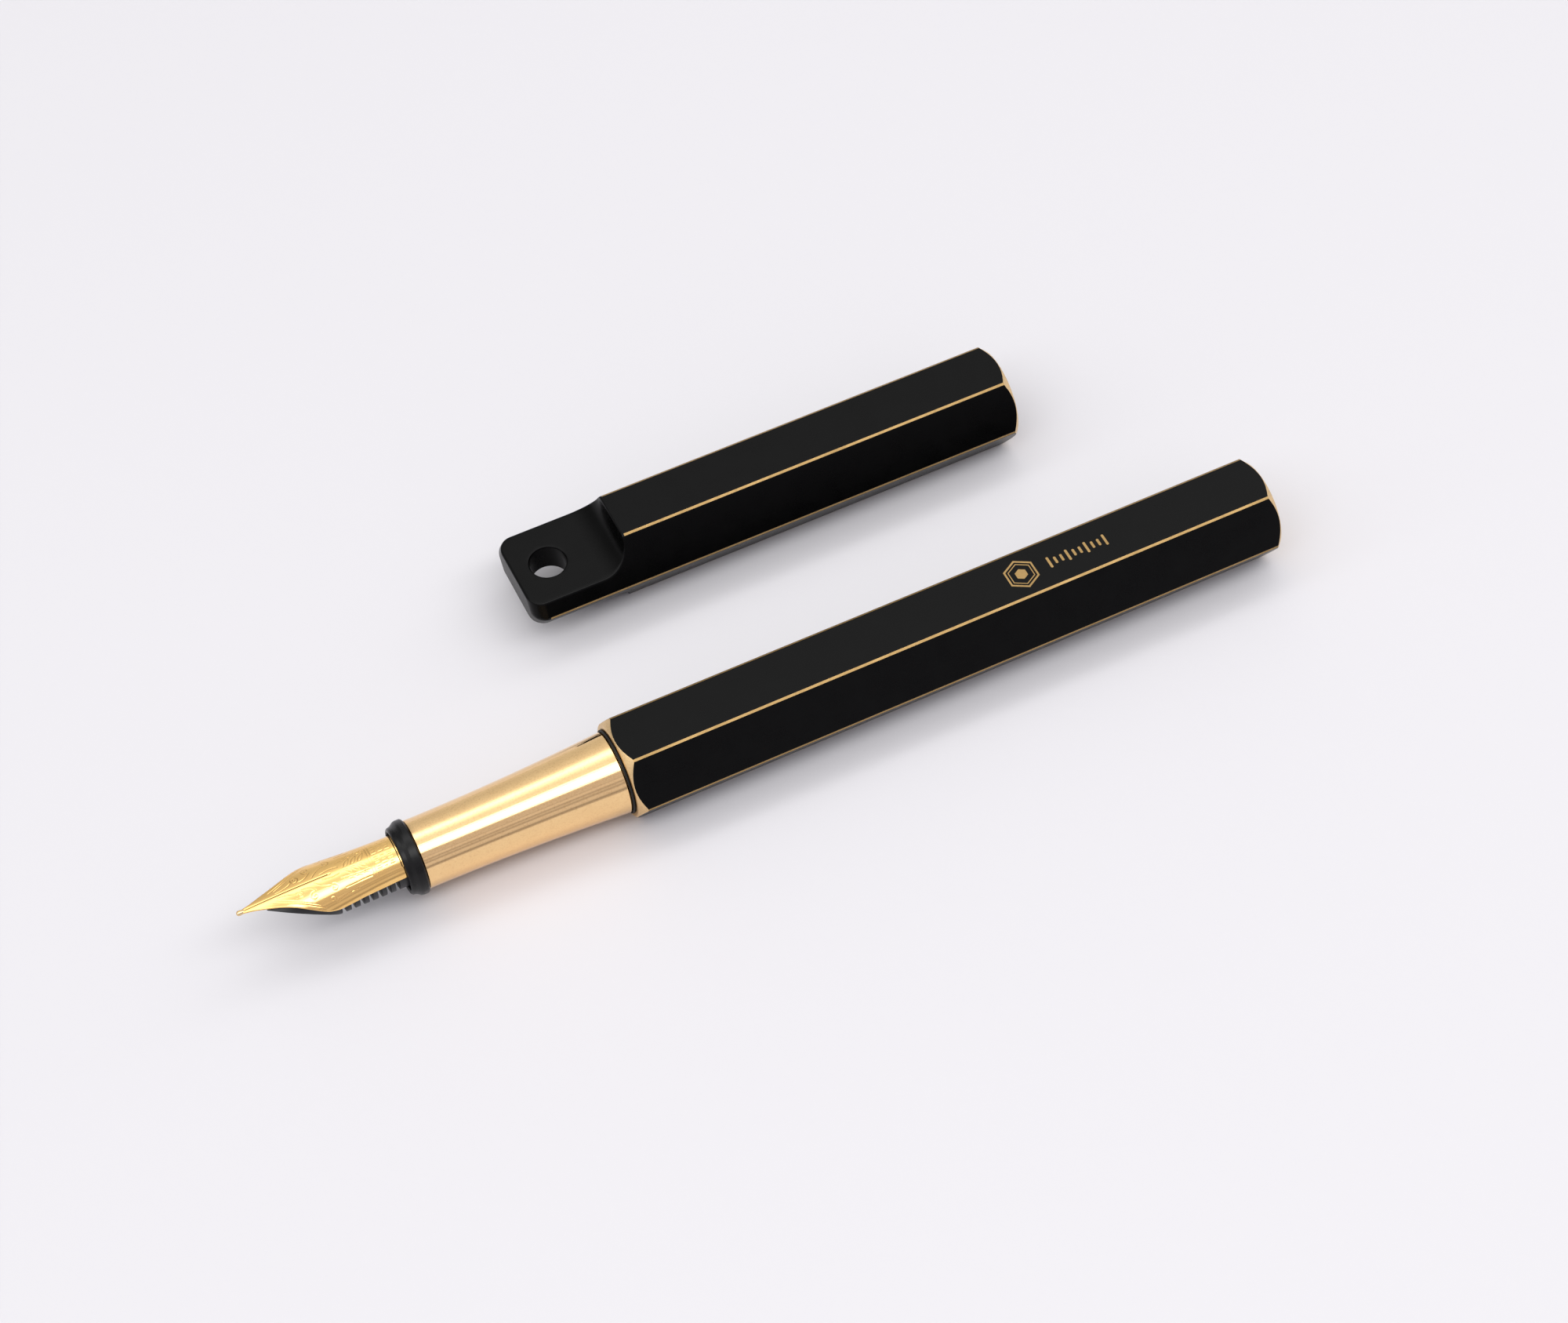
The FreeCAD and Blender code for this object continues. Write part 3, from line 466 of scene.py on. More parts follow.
LACQUER = lacquer()
VERTEX_BRASS = brass("brass_vertex", tint=(0.41, 0.272, 0.115), dark=(0.31, 0.20, 0.078),
                     rough=(0.50, 0.60), drawn=True)
CHAMFER_BRASS = brass("brass_chamfer", tint=(0.78, 0.565, 0.30), dark=(0.56, 0.385, 0.195),
                      rough=(0.34, 0.46), depth=0.0022)
POLISHED_BRASS = brass("brass_polished", tint=(0.94, 0.642, 0.318), dark=(0.86, 0.555, 0.262),
                       rough=(0.05, 0.085), depth=0.0009, mottle=0.45)
BORE_BRASS = brass("brass_bore", tint=(0.74, 0.50, 0.25), dark=(0.50, 0.32, 0.15),
                   rough=(0.32, 0.46), depth=0.004)
THREAD_BRASS = brass("brass_thread", tint=(0.86, 0.60, 0.30), dark=(0.62, 0.40, 0.18),
                     rough=(0.2, 0.3))
GOLD = gold("gold_plate", tint=(0.96, 0.615, 0.225), dark=(0.86, 0.50, 0.155),
            rough=(0.085, 0.14))
GOLD_INSIDE = gold("gold_inside", tint=(0.82, 0.51, 0.18), dark=(0.60, 0.34, 0.10),
                   rough=(0.22, 0.32))
GOLD_ENGRAVED = gold("gold_engraved", tint=(0.86, 0.52, 0.18), dark=(0.62, 0.345, 0.10),
                     rough=(0.18, 0.28))
TIPPING = steel("tipping_metal", tint=(0.80, 0.60, 0.33), dark=(0.58, 0.42, 0.22),
                rough=(0.12, 0.2))
COLLAR_PLASTIC = plastic("collar_plastic", low=(0.0022, 0.0022, 0.0024),
                         high=(0.0045, 0.0045, 0.0048), rough=(0.24, 0.34),
                         specular=0.22, depth=0.002, marks=1.0)
FEED_PLASTIC = plastic("feed_plastic", low=(0.012, 0.012, 0.013), high=(0.020, 0.020, 0.022),
                       rough=(0.36, 0.48), specular=0.34, depth=0.004)
LINER_PLASTIC = plastic("liner_plastic", low=(0.020, 0.020, 0.022), high=(0.034, 0.034, 0.036),
                        rough=(0.38, 0.5), specular=0.35, depth=0.003, marks=1.0)
RUBBER = plastic("rubber_seal", low=(0.006, 0.006, 0.006), high=(0.013, 0.013, 0.013),
                 rough=(0.5, 0.66), specular=0.25, depth=0.004)
KNOB_PLASTIC = plastic("knob_plastic", low=(0.012, 0.012, 0.013), high=(0.022, 0.022, 0.024),
                       rough=(0.3, 0.44), specular=0.4, depth=0.003)
ROD_PLASTIC = plastic("rod_plastic", low=(0.46, 0.47, 0.48), high=(0.58, 0.58, 0.59),
                      rough=(0.35, 0.5), specular=0.45, depth=0.003)
CLEAR = clear("clear_acrylic")
CHROME = steel("chrome_band", tint=(0.72, 0.72, 0.74), dark=(0.5, 0.5, 0.52),
               rough=(0.14, 0.22))

# ------------------------------------------------------- hexagonal bar sections
SHELL_MATERIALS = [LACQUER, VERTEX_BRASS, CHAMFER_BRASS, BORE_BRASS]
LACQUER_SLOT, CHAMFER_SLOT, BORE_SLOT = 0, 2, 3    # columns on flats use slot 1
EDGE_SOFT = 0.055      # rounding beside the vertex flats
EDGE_STEPS = 3
BAR_FACE_POINTS = 14   # points across each face of the barrel
RIM_R = 5.36           # where the 45 degree chamfer of a bar end starts
ON_AXIS = 1e-9         # radius of rings that merge into one point


def direction(degrees):
    """Unit vector at an angle from +Y towards +Z, and the tangent there."""
    a = math.radians(degrees)
    return np.array([math.cos(a), math.sin(a)]), np.array([-math.sin(a), math.cos(a)])


def hex_outline():
    """Rounded outline of the bar, (y, z) about the axis, and for each point 1
    if the segment that leaves it lies on a vertex flat, else 0."""
    points, on_flat = [], []
    for k in range(6):
        normal, across = direction(60 * k)
        next_normal, next_across = direction(60 * (k + 1))
        corner = normal * FLAT_R + across * FLAT_HALF
        next_corner = next_normal * FLAT_R - next_across * FLAT_HALF
        along = (next_corner - corner) / np.linalg.norm(next_corner - corner)
        start, end = corner + along * EDGE_SOFT, next_corner - along * EDGE_SOFT
        points.append(normal * FLAT_R)
        points += bend(corner - across * EDGE_SOFT, corner, start, EDGE_STEPS)
        points += [start + (end - start) * j / (BAR_FACE_POINTS + 1)
                   for j in range(1, BAR_FACE_POINTS + 1)]
        points += bend(end, next_corner, next_corner + next_across * EDGE_SOFT, EDGE_STEPS)
        on_flat += [1] + [0] * (2 * EDGE_STEPS + 1 + BAR_FACE_POINTS) + [1]
    return np.array(points), np.array(on_flat)


def ring_maker(outline, axis_y):
    """Radii of an outline, and a function that makes rings with its angles."""
    rho = np.hypot(outline[:, 0], outline[:, 1])
    unit_y, unit_z = outline[:, 0] / rho, outline[:, 1] / rho

    def ring(x, r):
        return np.column_stack([x + np.zeros_like(rho), axis_y + unit_y * r,
                                AXIS_Z + unit_z * r])
    return rho, ring


def end_rows(rho, x_face, sign):
    """Rows of (x, r) per column from the rim of a chamfered end to the start
    of the straight bar; sign is +1 if the bar runs towards +X from here."""
    zero = np.zeros_like(rho)
    depth = rho - RIM_R
    soft = np.minimum(0.05, 0.3 * depth)
    rows = [(zero, zero + RIM_R - 0.05), (zero + 0.012, zero + RIM_R - 0.012),
            (soft, RIM_R + soft)]
    for f in (0.35, 0.6):
        rows.append((soft * (1 - f) + f * depth, RIM_R + soft * (1 - f) + f * depth))
    rows += [(depth - soft, rho - soft), (depth - 0.2 * soft, rho - 0.32 * soft),
             (depth + 0.9 * soft, rho)]
    return [(x_face + sign * x, r) for x, r in rows]


# ------------------------------------------------------------------ the barrel
NARROW_R, NARROW_FROM, NARROW_TO = 4.1, 11.2, 74.8   # deep part of the bore
WIDE_R, WIDE_FROM, WIDE_TO = 4.75, 0.2, 10.4         # wide part at the mouth


def barrel():
    outline, on_flat = hex_outline()
    rho, ring = ring_maker(outline, 0.0)
    mouth_x, end_x = BARREL_LOW[0], BARREL_HIGH[0]
    # (x from the mouth, r), from the bottom of the bore out to the mouth
    inside = [(76.5, ON_AXIS), (76.0, 1.3), (75.0, 4.0)]
    inside += [(NARROW_TO - (NARROW_TO - NARROW_FROM) * k / 12, NARROW_R) for k in range(13)]
    inside += [(11.05, 4.14), (10.55, 4.70)]
    inside += [(WIDE_TO - (WIDE_TO - WIDE_FROM) * k / 6, WIDE_R) for k in range(7)]
    lip = [(0.13, 4.77), (0.02, 4.88), (0, 4.93), (0, 5.12)]
    bands = [(ring(mouth_x + x, r), BORE_SLOT) for x, r in inside]
    bands += [(ring(mouth_x + x, r), CHAMFER_SLOT) for x, r in lip]
    near, far = end_rows(rho, mouth_x, 1.0), end_rows(rho, end_x, -1.0)
    bands += [(ring(*row), CHAMFER_SLOT) for row in near[:-2]]
    bands += [(ring(*row), on_flat) for row in near[-2:]]
    near_x, far_x = near[-1][0], far[-1][0]
    for k in range(1, 24):
        f = k / 24
        f = f * f * (3 - 2 * f) * 0.35 + f * 0.65    # closer rows near the ends
        bands.append((ring(near_x + (far_x - near_x) * f, rho), on_flat))
    bands.append((ring(*far[-1]), on_flat))
    bands += [(ring(*row), CHAMFER_SLOT) for row in far[-2::-1]]
    bands += [(ring(end_x, r), CHAMFER_SLOT) for r in (5.1, 3.6, 1.8, ON_AXIS)]
    build("barrel", "barrel", "barrel_shell", "lacquered_brass", *skin(bands)[:2],
          SHELL_MATERIALS, skin(bands)[2], sharp=40)


# -------------------------------------------------------------------- the cap
# The -X end of the cap is cut down to a flat tab, the mouth faces +X.
TAB_SOFT = 0.32        # soft edges of the tab
TAB_HALF = 1.85        # half its thickness
ROOT_R = 3.3           # concave radius at its root
TAB_CORNER_R = 1.75    # rounding of its corners
WALL_X = 12.3          # tab end to wall
WALL_SOFT = 0.30       # rounding at the top of the wall
HOLE_X, HOLE_R, HOLE_SOFT = 4.2, 2.15, 0.20
COS30, SIN30 = math.cos(math.pi / 6), 0.5
TOP_POINTS, SLOPE_POINTS = 13, 12
CORNER_POINTS = 2 * (EDGE_STEPS + 1) + 1
QUARTER_SEGMENTS = TOP_POINTS + CORNER_POINTS + SLOPE_POINTS + EDGE_STEPS + 1
UPPER_FLAT = [TOP_POINTS + EDGE_STEPS, TOP_POINTS + EDGE_STEPS + 1]
SIDE_FLAT = [TOP_POINTS + CORNER_POINTS + SLOPE_POINTS + EDGE_STEPS]
# distances of the rounded sections from the tab's end
TAB_STATIONS = [0.0, 0.006, 0.022, 0.05, 0.09, 0.14, 0.2, 0.26, 0.32, 0.42, 0.55, 0.7,
                0.88, 1.08, 1.3, 1.52, TAB_CORNER_R]


def cap_quarter(half_height, face, whole_share):
    """Quarter of the cap's section, from the top centre to the side vertex.
    face is the distance of the slanting faces from the axis; whole_share, 0
    to 1, is how much of the upper vertex flat is there."""
    inward = np.array([-1.0, 0])
    down = np.array([SIN30, -COS30])         # down the slanting face
    corner = np.array([(face - half_height * SIN30) / COS30, half_height])
    side_y = face / COS30
    if side_y > FLAT_R + 0.03:
        low = np.array([FLAT_R, (face - FLAT_R * COS30) / SIN30])
        soft = min(EDGE_SOFT, low[1] * 0.5)
        side = bend(low - down * soft, low, low + np.array([0, -1.0]) * soft, EDGE_STEPS)
        side.append(np.array([FLAT_R, 0.0]))
    else:
        low = np.array([side_y, 0.0])
        soft = 0.30
        below = low + np.array([-SIN30, -COS30]) * soft
        side = bend(low - down * soft, low, below, 8)[:5]
        side[-1][1] = 0.0
    # one soft rounding where the bar is cut
    soft = min(TAB_SOFT * 0.8, 0.4 * np.linalg.norm(low - corner), 0.4 * corner[0])
    cut = bend(corner + inward * soft, corner, corner + down * soft, CORNER_POINTS - 1)
    # vertex flat with two small roundings where it is whole
    normal = np.array([math.cos(math.radians(60)), math.sin(math.radians(60))])
    across = np.array([-normal[1], normal[0]])
    upper, lower = normal * FLAT_R + across * FLAT_HALF, normal * FLAT_R - across * FLAT_HALF
    whole = bend(upper + inward * EDGE_SOFT, upper, upper - across * EDGE_SOFT, EDGE_STEPS)
    whole.append(normal * FLAT_R)
    whole += bend(lower + across * EDGE_SOFT, lower, lower + down * EDGE_SOFT, EDGE_STEPS)
    edge = np.array(cut) * (1 - whole_share) + np.array(whole) * whole_share
    top = [np.array([edge[0][0] * j / TOP_POINTS, edge[0][1]]) for j in range(TOP_POINTS)]
    slope = [edge[-1] + (side[0] - edge[-1]) * j / (SLOPE_POINTS + 1)
             for j in range(1, SLOPE_POINTS + 1)]
    return np.array(top + list(edge) + slope + side)


def mirror_loop(quarter):
    """Whole loop from a quarter that runs from the top to the +Y side."""
    return np.vstack([quarter, quarter[:-1][::-1] * np.array([1, -1]),
                      quarter[1:] * np.array([-1, -1]),
                      quarter[1:-1][::-1] * np.array([-1, 1])])


def loop_flags(segments):
    """1 for the given segments of a quarter in all four quarters, else 0."""
    quarter = np.zeros(QUARTER_SEGMENTS, int)
    quarter[segments] = 1
    return np.tile(np.concatenate([quarter, quarter[::-1]]), 2)


def cap_section(x, half_height, face, whole_share=0.0):
    loop = mirror_loop(cap_quarter(half_height, face, whole_share))
    return np.column_stack([np.full(len(loop), CAP_LOW[0] + x), CAP_Y + loop[:, 0],
                            AXIS_Z + loop[:, 1]])


def rounded(x, full, radius):
    """Half size at x from an end whose edges are rounded."""
    return full - radius + math.sqrt(max(0.0, radius ** 2 - max(0.0, radius - x) ** 2))


def cap_bands():
    side_flat = loop_flags(SIDE_FLAT)
    all_flats = side_flat + loop_flags(UPPER_FLAT)
    bands = [(cap_section(x, rounded(x, TAB_HALF, TAB_SOFT), rounded(x, FACE_R, TAB_CORNER_R)),
              LACQUER_SLOT if x < TAB_CORNER_R else side_flat) for x in TAB_STATIONS]
    for k in range(1, 10):
        x = TAB_CORNER_R + (WALL_X - ROOT_R - TAB_CORNER_R) * k / 10
        bands.append((cap_section(x, TAB_HALF, FACE_R), side_flat))
    # concave root
    root_steps = 22
    for k in range(root_steps + 1):
        t = math.radians(90.0 * k / root_steps)
        x = WALL_X - ROOT_R + ROOT_R * math.sin(t)
        bands.append((cap_section(x, TAB_HALF + ROOT_R * (1 - math.cos(t)), FACE_R), side_flat))
    # wall, rounded over into the bar
    for k in range(1, 7):
        t = math.radians(90.0 * k / 6)
        z = (TAB_HALF + ROOT_R) + (FACE_R - TAB_HALF - ROOT_R) * math.sin(t)
        x = WALL_X + WALL_SOFT * (1 - math.cos(t))
        whole_share = max(0.0, min(1.0, (z - (FACE_R - 0.2)) / 0.2))
        bands.append((cap_section(x, min(z, FACE_R), FACE_R, whole_share),
                      side_flat if k < 6 else all_flats))
    # straight bar to the mouth
    rho, ring = ring_maker(mirror_loop(cap_quarter(FACE_R, FACE_R, 1.0)), CAP_Y)
    mouth_x = CAP_HIGH[0]
    mouth = end_rows(rho, mouth_x, -1.0)
    bar_x = CAP_LOW[0] + WALL_X + WALL_SOFT
    for k in range(1, 18):
        bands.append((ring(bar_x + (mouth[-1][0] - bar_x) * (k / 18), rho), all_flats))
    bands.append((ring(*mouth[-1]), all_flats))
    bands += [(ring(*row), CHAMFER_SLOT) for row in mouth[-2::-1]]
    # (depth from the mouth, r), inwards
    lip = [(0, 5.28), (0.01, 5.23)]
    inside = [(0.1, 5.12), (0.16, 5.10), (1.8, 5.10), (3.45, 5.10), (3.55, 5.09), (3.85, 4.96)]
    inside += [(3.95 + 43.95 * k / 10, 4.95) for k in range(10)]
    inside += [(47.9, 4.95), (48.0, 4.85), (48.0, 2.4), (48.0, ON_AXIS)]
    bands += [(ring(mouth_x - x, r), CHAMFER_SLOT) for x, r in lip]
    bands += [(ring(mouth_x - x, r), BORE_SLOT) for x, r in inside]
    return bands


def hole_cutter():
    """Upright cutter that flares out at both surfaces of the tab."""
    upper = [(3.0, HOLE_R + HOLE_SOFT + 0.02)]     # (z, r)
    for j in range(7):
        t = math.radians(90.0 * j / 6)
        upper.append((TAB_HALF - HOLE_SOFT + HOLE_SOFT * math.cos(t),
                      HOLE_R + HOLE_SOFT * (1 - math.sin(t))))
    profile = upper + [(-z, r) for z, r in reversed(upper)]
    segments = 96
    verts, faces = [], []
    for z, r in profile:
        for k in range(segments):
            t = 2 * math.pi * k / segments
            verts.append((CAP_LOW[0] + HOLE_X + r * math.cos(t), CAP_Y + r * math.sin(t),
                          AXIS_Z + z))
    for i in range(len(profile) - 1):
        faces += band(i, segments)
    faces.append(tuple(range(segments)))
    faces.append(tuple(range(len(verts) - 1, len(verts) - segments - 1, -1)))
    return mesh_object("cutter", verts, faces, [LACQUER], weighted=False)


def cap():
    bands = cap_bands()
    verts, faces, index = skin(bands)
    tab_end = tuple(range(len(bands[0][0]) - 1, -1, -1))
    obj = mesh_object("cap", verts, [tab_end] + faces, SHELL_MATERIALS,
                      [LACQUER_SLOT] + index, weighted=False)
    cutter = hole_cutter()
    modifier = obj.modifiers.new("hole", "BOOLEAN")
    modifier.object = cutter
    modifier.operation = "DIFFERENCE"
    modifier.solver = "EXACT"
    # keep the drilled mesh in place of the modifier
    depsgraph = bpy.context.evaluated_depsgraph_get()
    drilled = bpy.data.meshes.new_from_object(obj.evaluated_get(depsgraph))
    obj.modifiers.clear()
    undrilled = obj.data
    obj.data = drilled
    bpy.data.meshes.remove(undrilled)
    bpy.data.objects.remove(cutter)
    finish_shading(obj, 40)
    register(obj, "cap", "cap_shell")


def cap_liner():
    total = length("cap_liner")
    turned("cap_liner_sleeve", "cap", "cap_liner", "black_plastic", LINER_PLASTIC,
           front("cap_liner"),
           [(0, 0), (0, 4.43), (0.5, 4.93), (total, 4.93), (total, 4.65),
            (total - 0.5, 4.40), (2.2, 4.40), (1.4, 3.6), (1.4, 0)],
           radius=0.15, closed=False, axis_y=CAP_Y)


barrel()
cap()
cap_liner()

# ---------------------------------------------------------------- grip section
FLARE_LEN = 23.53
FLARE_FRONT_R, FLARE_REAR_R, FLARE_ARC_R = 3.94, 4.74, 330.0
NECK_END = FLARE_LEN + 0.34
GRIP_LEN = NECK_END + 9.25
THREAD_ROOT_R, THREAD_HEIGHT, PITCH = 4.35, 0.325, 0.75
POLISHED_TAG, THREAD_TAG, GRIP_BORE_TAG = 0, 1, 2


def grip_flare():
    """Concave arc through the front and rear radii."""
    x_a, x_b = 0.12, FLARE_LEN - 0.15
    rise = FLARE_REAR_R - FLARE_FRONT_R
    chord = math.hypot(x_b - x_a, rise)
    middle = np.array([(x_a + x_b) / 2, (FLARE_FRONT_R + FLARE_REAR_R) / 2])
    normal = np.array([-rise, x_b - x_a]) / chord
    centre = middle + normal * math.sqrt(FLARE_ARC_R * FLARE_ARC_R - chord * chord / 4)
    start = math.atan2(FLARE_FRONT_R - centre[1], x_a - centre[0])
    end = math.atan2(FLARE_REAR_R - centre[1], x_b - centre[0])
    angles = [start + (end - start) * k / 36 for k in range(37)]
    return [(centre[0] + FLARE_ARC_R * math.cos(a), centre[1] + FLARE_ARC_R * math.sin(a),
             POLISHED_TAG) for a in angles]


def grip():
    start = front("grip_section")
    # (x from the front, r, tag)
    outline = [(0, 3.5, POLISHED_TAG), (0, FLARE_FRONT_R - 0.12, POLISHED_TAG)]
    outline += grip_flare()
    outline += [(FLARE_LEN, FLARE_REAR_R - 0.12, POLISHED_TAG),
                (FLARE_LEN, 4.6, THREAD_TAG), (NECK_END, 4.6, THREAD_TAG),
                (NECK_END + 0.25, THREAD_ROOT_R, THREAD_TAG),
                (GRIP_LEN - 0.2, THREAD_ROOT_R, THREAD_TAG), (GRIP_LEN, 4.15, THREAD_TAG),
                (GRIP_LEN, 3.6, GRIP_BORE_TAG), (10.8, 3.6, GRIP_BORE_TAG),
                (10.8, 3.5, GRIP_BORE_TAG)]
    outline = soften([(start + x, r, tag) for x, r, tag in outline], 0.07)
    rows = []
    for a, b in zip(outline, outline[1:] + outline[:1]):
        rows.append(a)
        run = abs(b[0] - a[0])
        if run > 2.5:
            spacing = PITCH / 10 if a[2] == THREAD_TAG else 1.5
            rows += between(a, b, int(run / spacing))
    thread_from, thread_to = start + NECK_END + 0.45, start + GRIP_LEN - 0.9

    def thread(x, r, angle, tag):
        """Trapezoidal thread that fades out at both ends."""
        if tag != THREAD_TAG:
            return r
        phase = ((x - thread_from) / PITCH - angle / (2 * math.pi)) % 1.0
        if phase < 0.40:
            height = phase / 0.40
        elif phase < 0.56:
            height = 1.0
        elif phase < 0.96:
            height = (0.96 - phase) / 0.40
        else:
            height = 0.0
        fade = max(0.0, min(1.0, (x - thread_from) / 0.5, (thread_to - x) / 0.5))
        return r + THREAD_HEIGHT * height * fade

    verts, faces, index = lathe(rows, 160, radial=thread)
    build("grip", "grip", "grip_section", "polished_brass", verts, faces,
          [POLISHED_BRASS, THREAD_BRASS, BORE_BRASS], index, sharp=42)


def o_ring():
    low, high = limits("grip_o_ring")
    x = 0.5 * (low[0] + high[0])
    minor = 0.5 * (high[0] - low[0])
    major = 0.5 * (high[1] - low[1]) - minor
    angles = [2 * math.pi * k / 28 for k in range(28)]
    circle = [(x + minor * math.cos(a), major + minor * math.sin(a), 0) for a in angles]
    verts, faces, index = lathe(circle, 168)
    build("o_ring_seal", "o_ring", "grip_o_ring", "black_rubber", verts, faces, [RUBBER],
          index, sharp=60, weighted=False)


def nib_collar():
    # (x from the front, r, corner radius)
    outline = [
        (0, 3.52, 0.06), (0, 3.69, 0.1), (0.15, 3.84, 0.12), (0.52, 3.92, 0.3),
        (0.95, 4.23, 0.3), (1.20, 4.30, 0.3), (1.76, 4.29, 0.16), (1.93, 4.15, 0.1),
        (1.93, 3.45, 0.02), (12.3, 3.45, 0.1), (12.6, 3.15, 0.1), (12.6, 1.22, 0.15),
        (18.0, 1.22, 0.1), (18.4, 0.97, 0.1), (18.4, 0.6, 0.05), (10.2, 0.6, 0.05),
        (10.2, 3.07, 0.1), (0.80, 3.07, 0.08), (0.55, 3.40, 0.08), (0.12, 3.40, 0.06)]
    turned("nib_collar_sleeve", "nib_unit", "nib_housing", "black_plastic", COLLAR_PLASTIC,
           front("nib_housing"), outline, steps=5, segments=168, longest=1.5)


grip()
o_ring()
nib_collar()

# ------------------------------------------------------------------------ feed
FEED_R, FEED_CORE_R, FEED_TAIL_R = 2.76, 1.95, 3.05
FEED_LEN = length("feed")
GAP_PITCH, GAP_WIDTH, GAP_BEVEL = 1.03, 0.47, 0.04
GAPS = sorted(14.65 - GAP_PITCH * (k + 1) for k in range(7))   # front of each gap
CUT_END = GAPS[0] - 0.4        # where the oblique underside is referred to
ARC_STEPS, FLANK_STEPS, FLOOR_STEPS = 44, 12, 16
CHANNEL_HALF, CHANNEL_Z = 0.149, 2.0


def feed_section(x, radius, soft=0.0):
    """Section in (y, z): ink channel and arc on top, two flanks closing in at
    45 degrees, and the oblique underside."""
    floor_z = flank = -9.0       # out of reach behind the first gap
    if x < GAPS[0] + 0.005:
        floor_z = 2.1 - 4.4 * x / CUT_END
        flank = 1.62 - 4.42 * (x + 1.0) / (GAPS[0] + 1.0)
    flank_sum = flank * math.sqrt(2.0)        # y + z on the flank
    r = radius - soft
    # where the flank meets the circle
    flank = max(flank, -r)
    near, half = flank / math.sqrt(2), math.sqrt(max(0.0, r * r - flank * flank)) / math.sqrt(2)
    upper = np.array([min(near - half, 0.0), near + half])
    lower = np.array([min(near + half, 0.0), near - half])
    if floor_z > -r:
        circle_y = math.sqrt(max(0.0, r * r - floor_z * floor_z))
        floor_y = min(circle_y, max(0.05, floor_z - flank_sum))
        corner = np.array([-floor_y, floor_z])
        at_circle = floor_y >= circle_y - 1e-6
        flank_top = corner if at_circle and upper[1] < floor_z else upper
        points = [np.array([corner[0] * k / FLOOR_STEPS, floor_z]) for k in range(FLOOR_STEPS)]
    else:
        corner, flank_top = lower, upper
        end = math.atan2(-corner[0], -corner[1])
        points = [np.array([-r * math.sin(end * k / FLOOR_STEPS),
                            -r * math.cos(end * k / FLOOR_STEPS)]) for k in range(FLOOR_STEPS)]
    points += [corner + (flank_top - corner) * k / FLANK_STEPS for k in range(FLANK_STEPS)]
    start, end = math.atan2(-flank_top[0], flank_top[1]), math.radians(3.1)
    for k in range(ARC_STEPS + 1):
        t = start + (end - start) * k / ARC_STEPS
        points.append(np.array([-r * math.sin(t), r * math.cos(t)]))
    channel_z = min(CHANNEL_Z, r) if 0.8 < x < FEED_LEN - 3.0 else r
    points += [np.array([-CHANNEL_HALF, channel_z]), np.array([0.0, channel_z])]
    half_loop = np.array(points)
    loop = np.vstack([half_loop, half_loop[1:-1][::-1] * np.array([-1, 1])])
    return np.column_stack([np.full(len(loop), front("feed") + x), loop[:, 0],
                            AXIS_Z + loop[:, 1]])


def ink_feed():
    stations = []                # (x, radius[, soft])
    for x in (0.0, 0.03, 0.1, 0.25, 0.5, 0.79, 0.81, 1.2, 1.7, 2.3, 3.0, 3.7, 4.4, 5.1, 5.8,
              6.3, 6.7, 6.9, CUT_END, CUT_END + 0.02, GAPS[0] - 0.2, GAPS[0] - 0.045):
        stations.append((x, FEED_R - 0.14 + 0.14 * min(1.0, x / 2.2),
                         0.05 * max(0.0, 1 - x / 0.1)))
    slight = 0.25 * GAP_BEVEL
    for gap in GAPS:
        end = gap + GAP_WIDTH
        if gap > GAPS[0]:
            stations += [(gap - GAP_BEVEL, FEED_R), (gap - slight, FEED_R, slight)]
        stations += [(gap, FEED_R, GAP_BEVEL), (gap + 0.01, FEED_CORE_R + 0.06),
                     (gap + 0.06, FEED_CORE_R), (gap + 0.41, FEED_CORE_R),
                     (gap + 0.46, FEED_CORE_R + 0.06), (end, FEED_R, GAP_BEVEL),
                     (end + slight, FEED_R, slight), (end + GAP_BEVEL, FEED_R)]
    stations += [(x, FEED_R) for x in (15.0, 17.0, 19.0, 21.0, FEED_LEN - 3.1, FEED_LEN - 2.95)]
    stations += [(FEED_LEN - 2.9, 3.0), (FEED_LEN - 2.86, FEED_TAIL_R),
                 (FEED_LEN - 0.32, FEED_TAIL_R), (FEED_LEN - 0.28, FEED_TAIL_R - 0.03),
                 (FEED_LEN - 0.02, FEED_TAIL_R - 0.29), (FEED_LEN, FEED_TAIL_R - 0.33)]
    loops = [feed_section(*station) for station in stations]
    count = len(loops[0])
    faces = [tuple(range(count - 1, -1, -1))]
    for i in range(len(loops) - 1):
        faces += band(i, count)
    faces.append(tuple(range((len(loops) - 1) * count, len(loops) * count)))
    build("ink_feed", "nib_feed", "feed", "feed_plastic", np.vstack(loops), faces,
          [FEED_PLASTIC], sharp=30)


ink_feed()

# ------------------------------------------------------------------------- nib
RIDGE = 3.05           # height of the nib's ridge over the axis at its tail
THICK = 0.27
SLIT_END, SLIT_HALF = 10.1, 0.04
ENGRAVING_DEPTH = 0.028
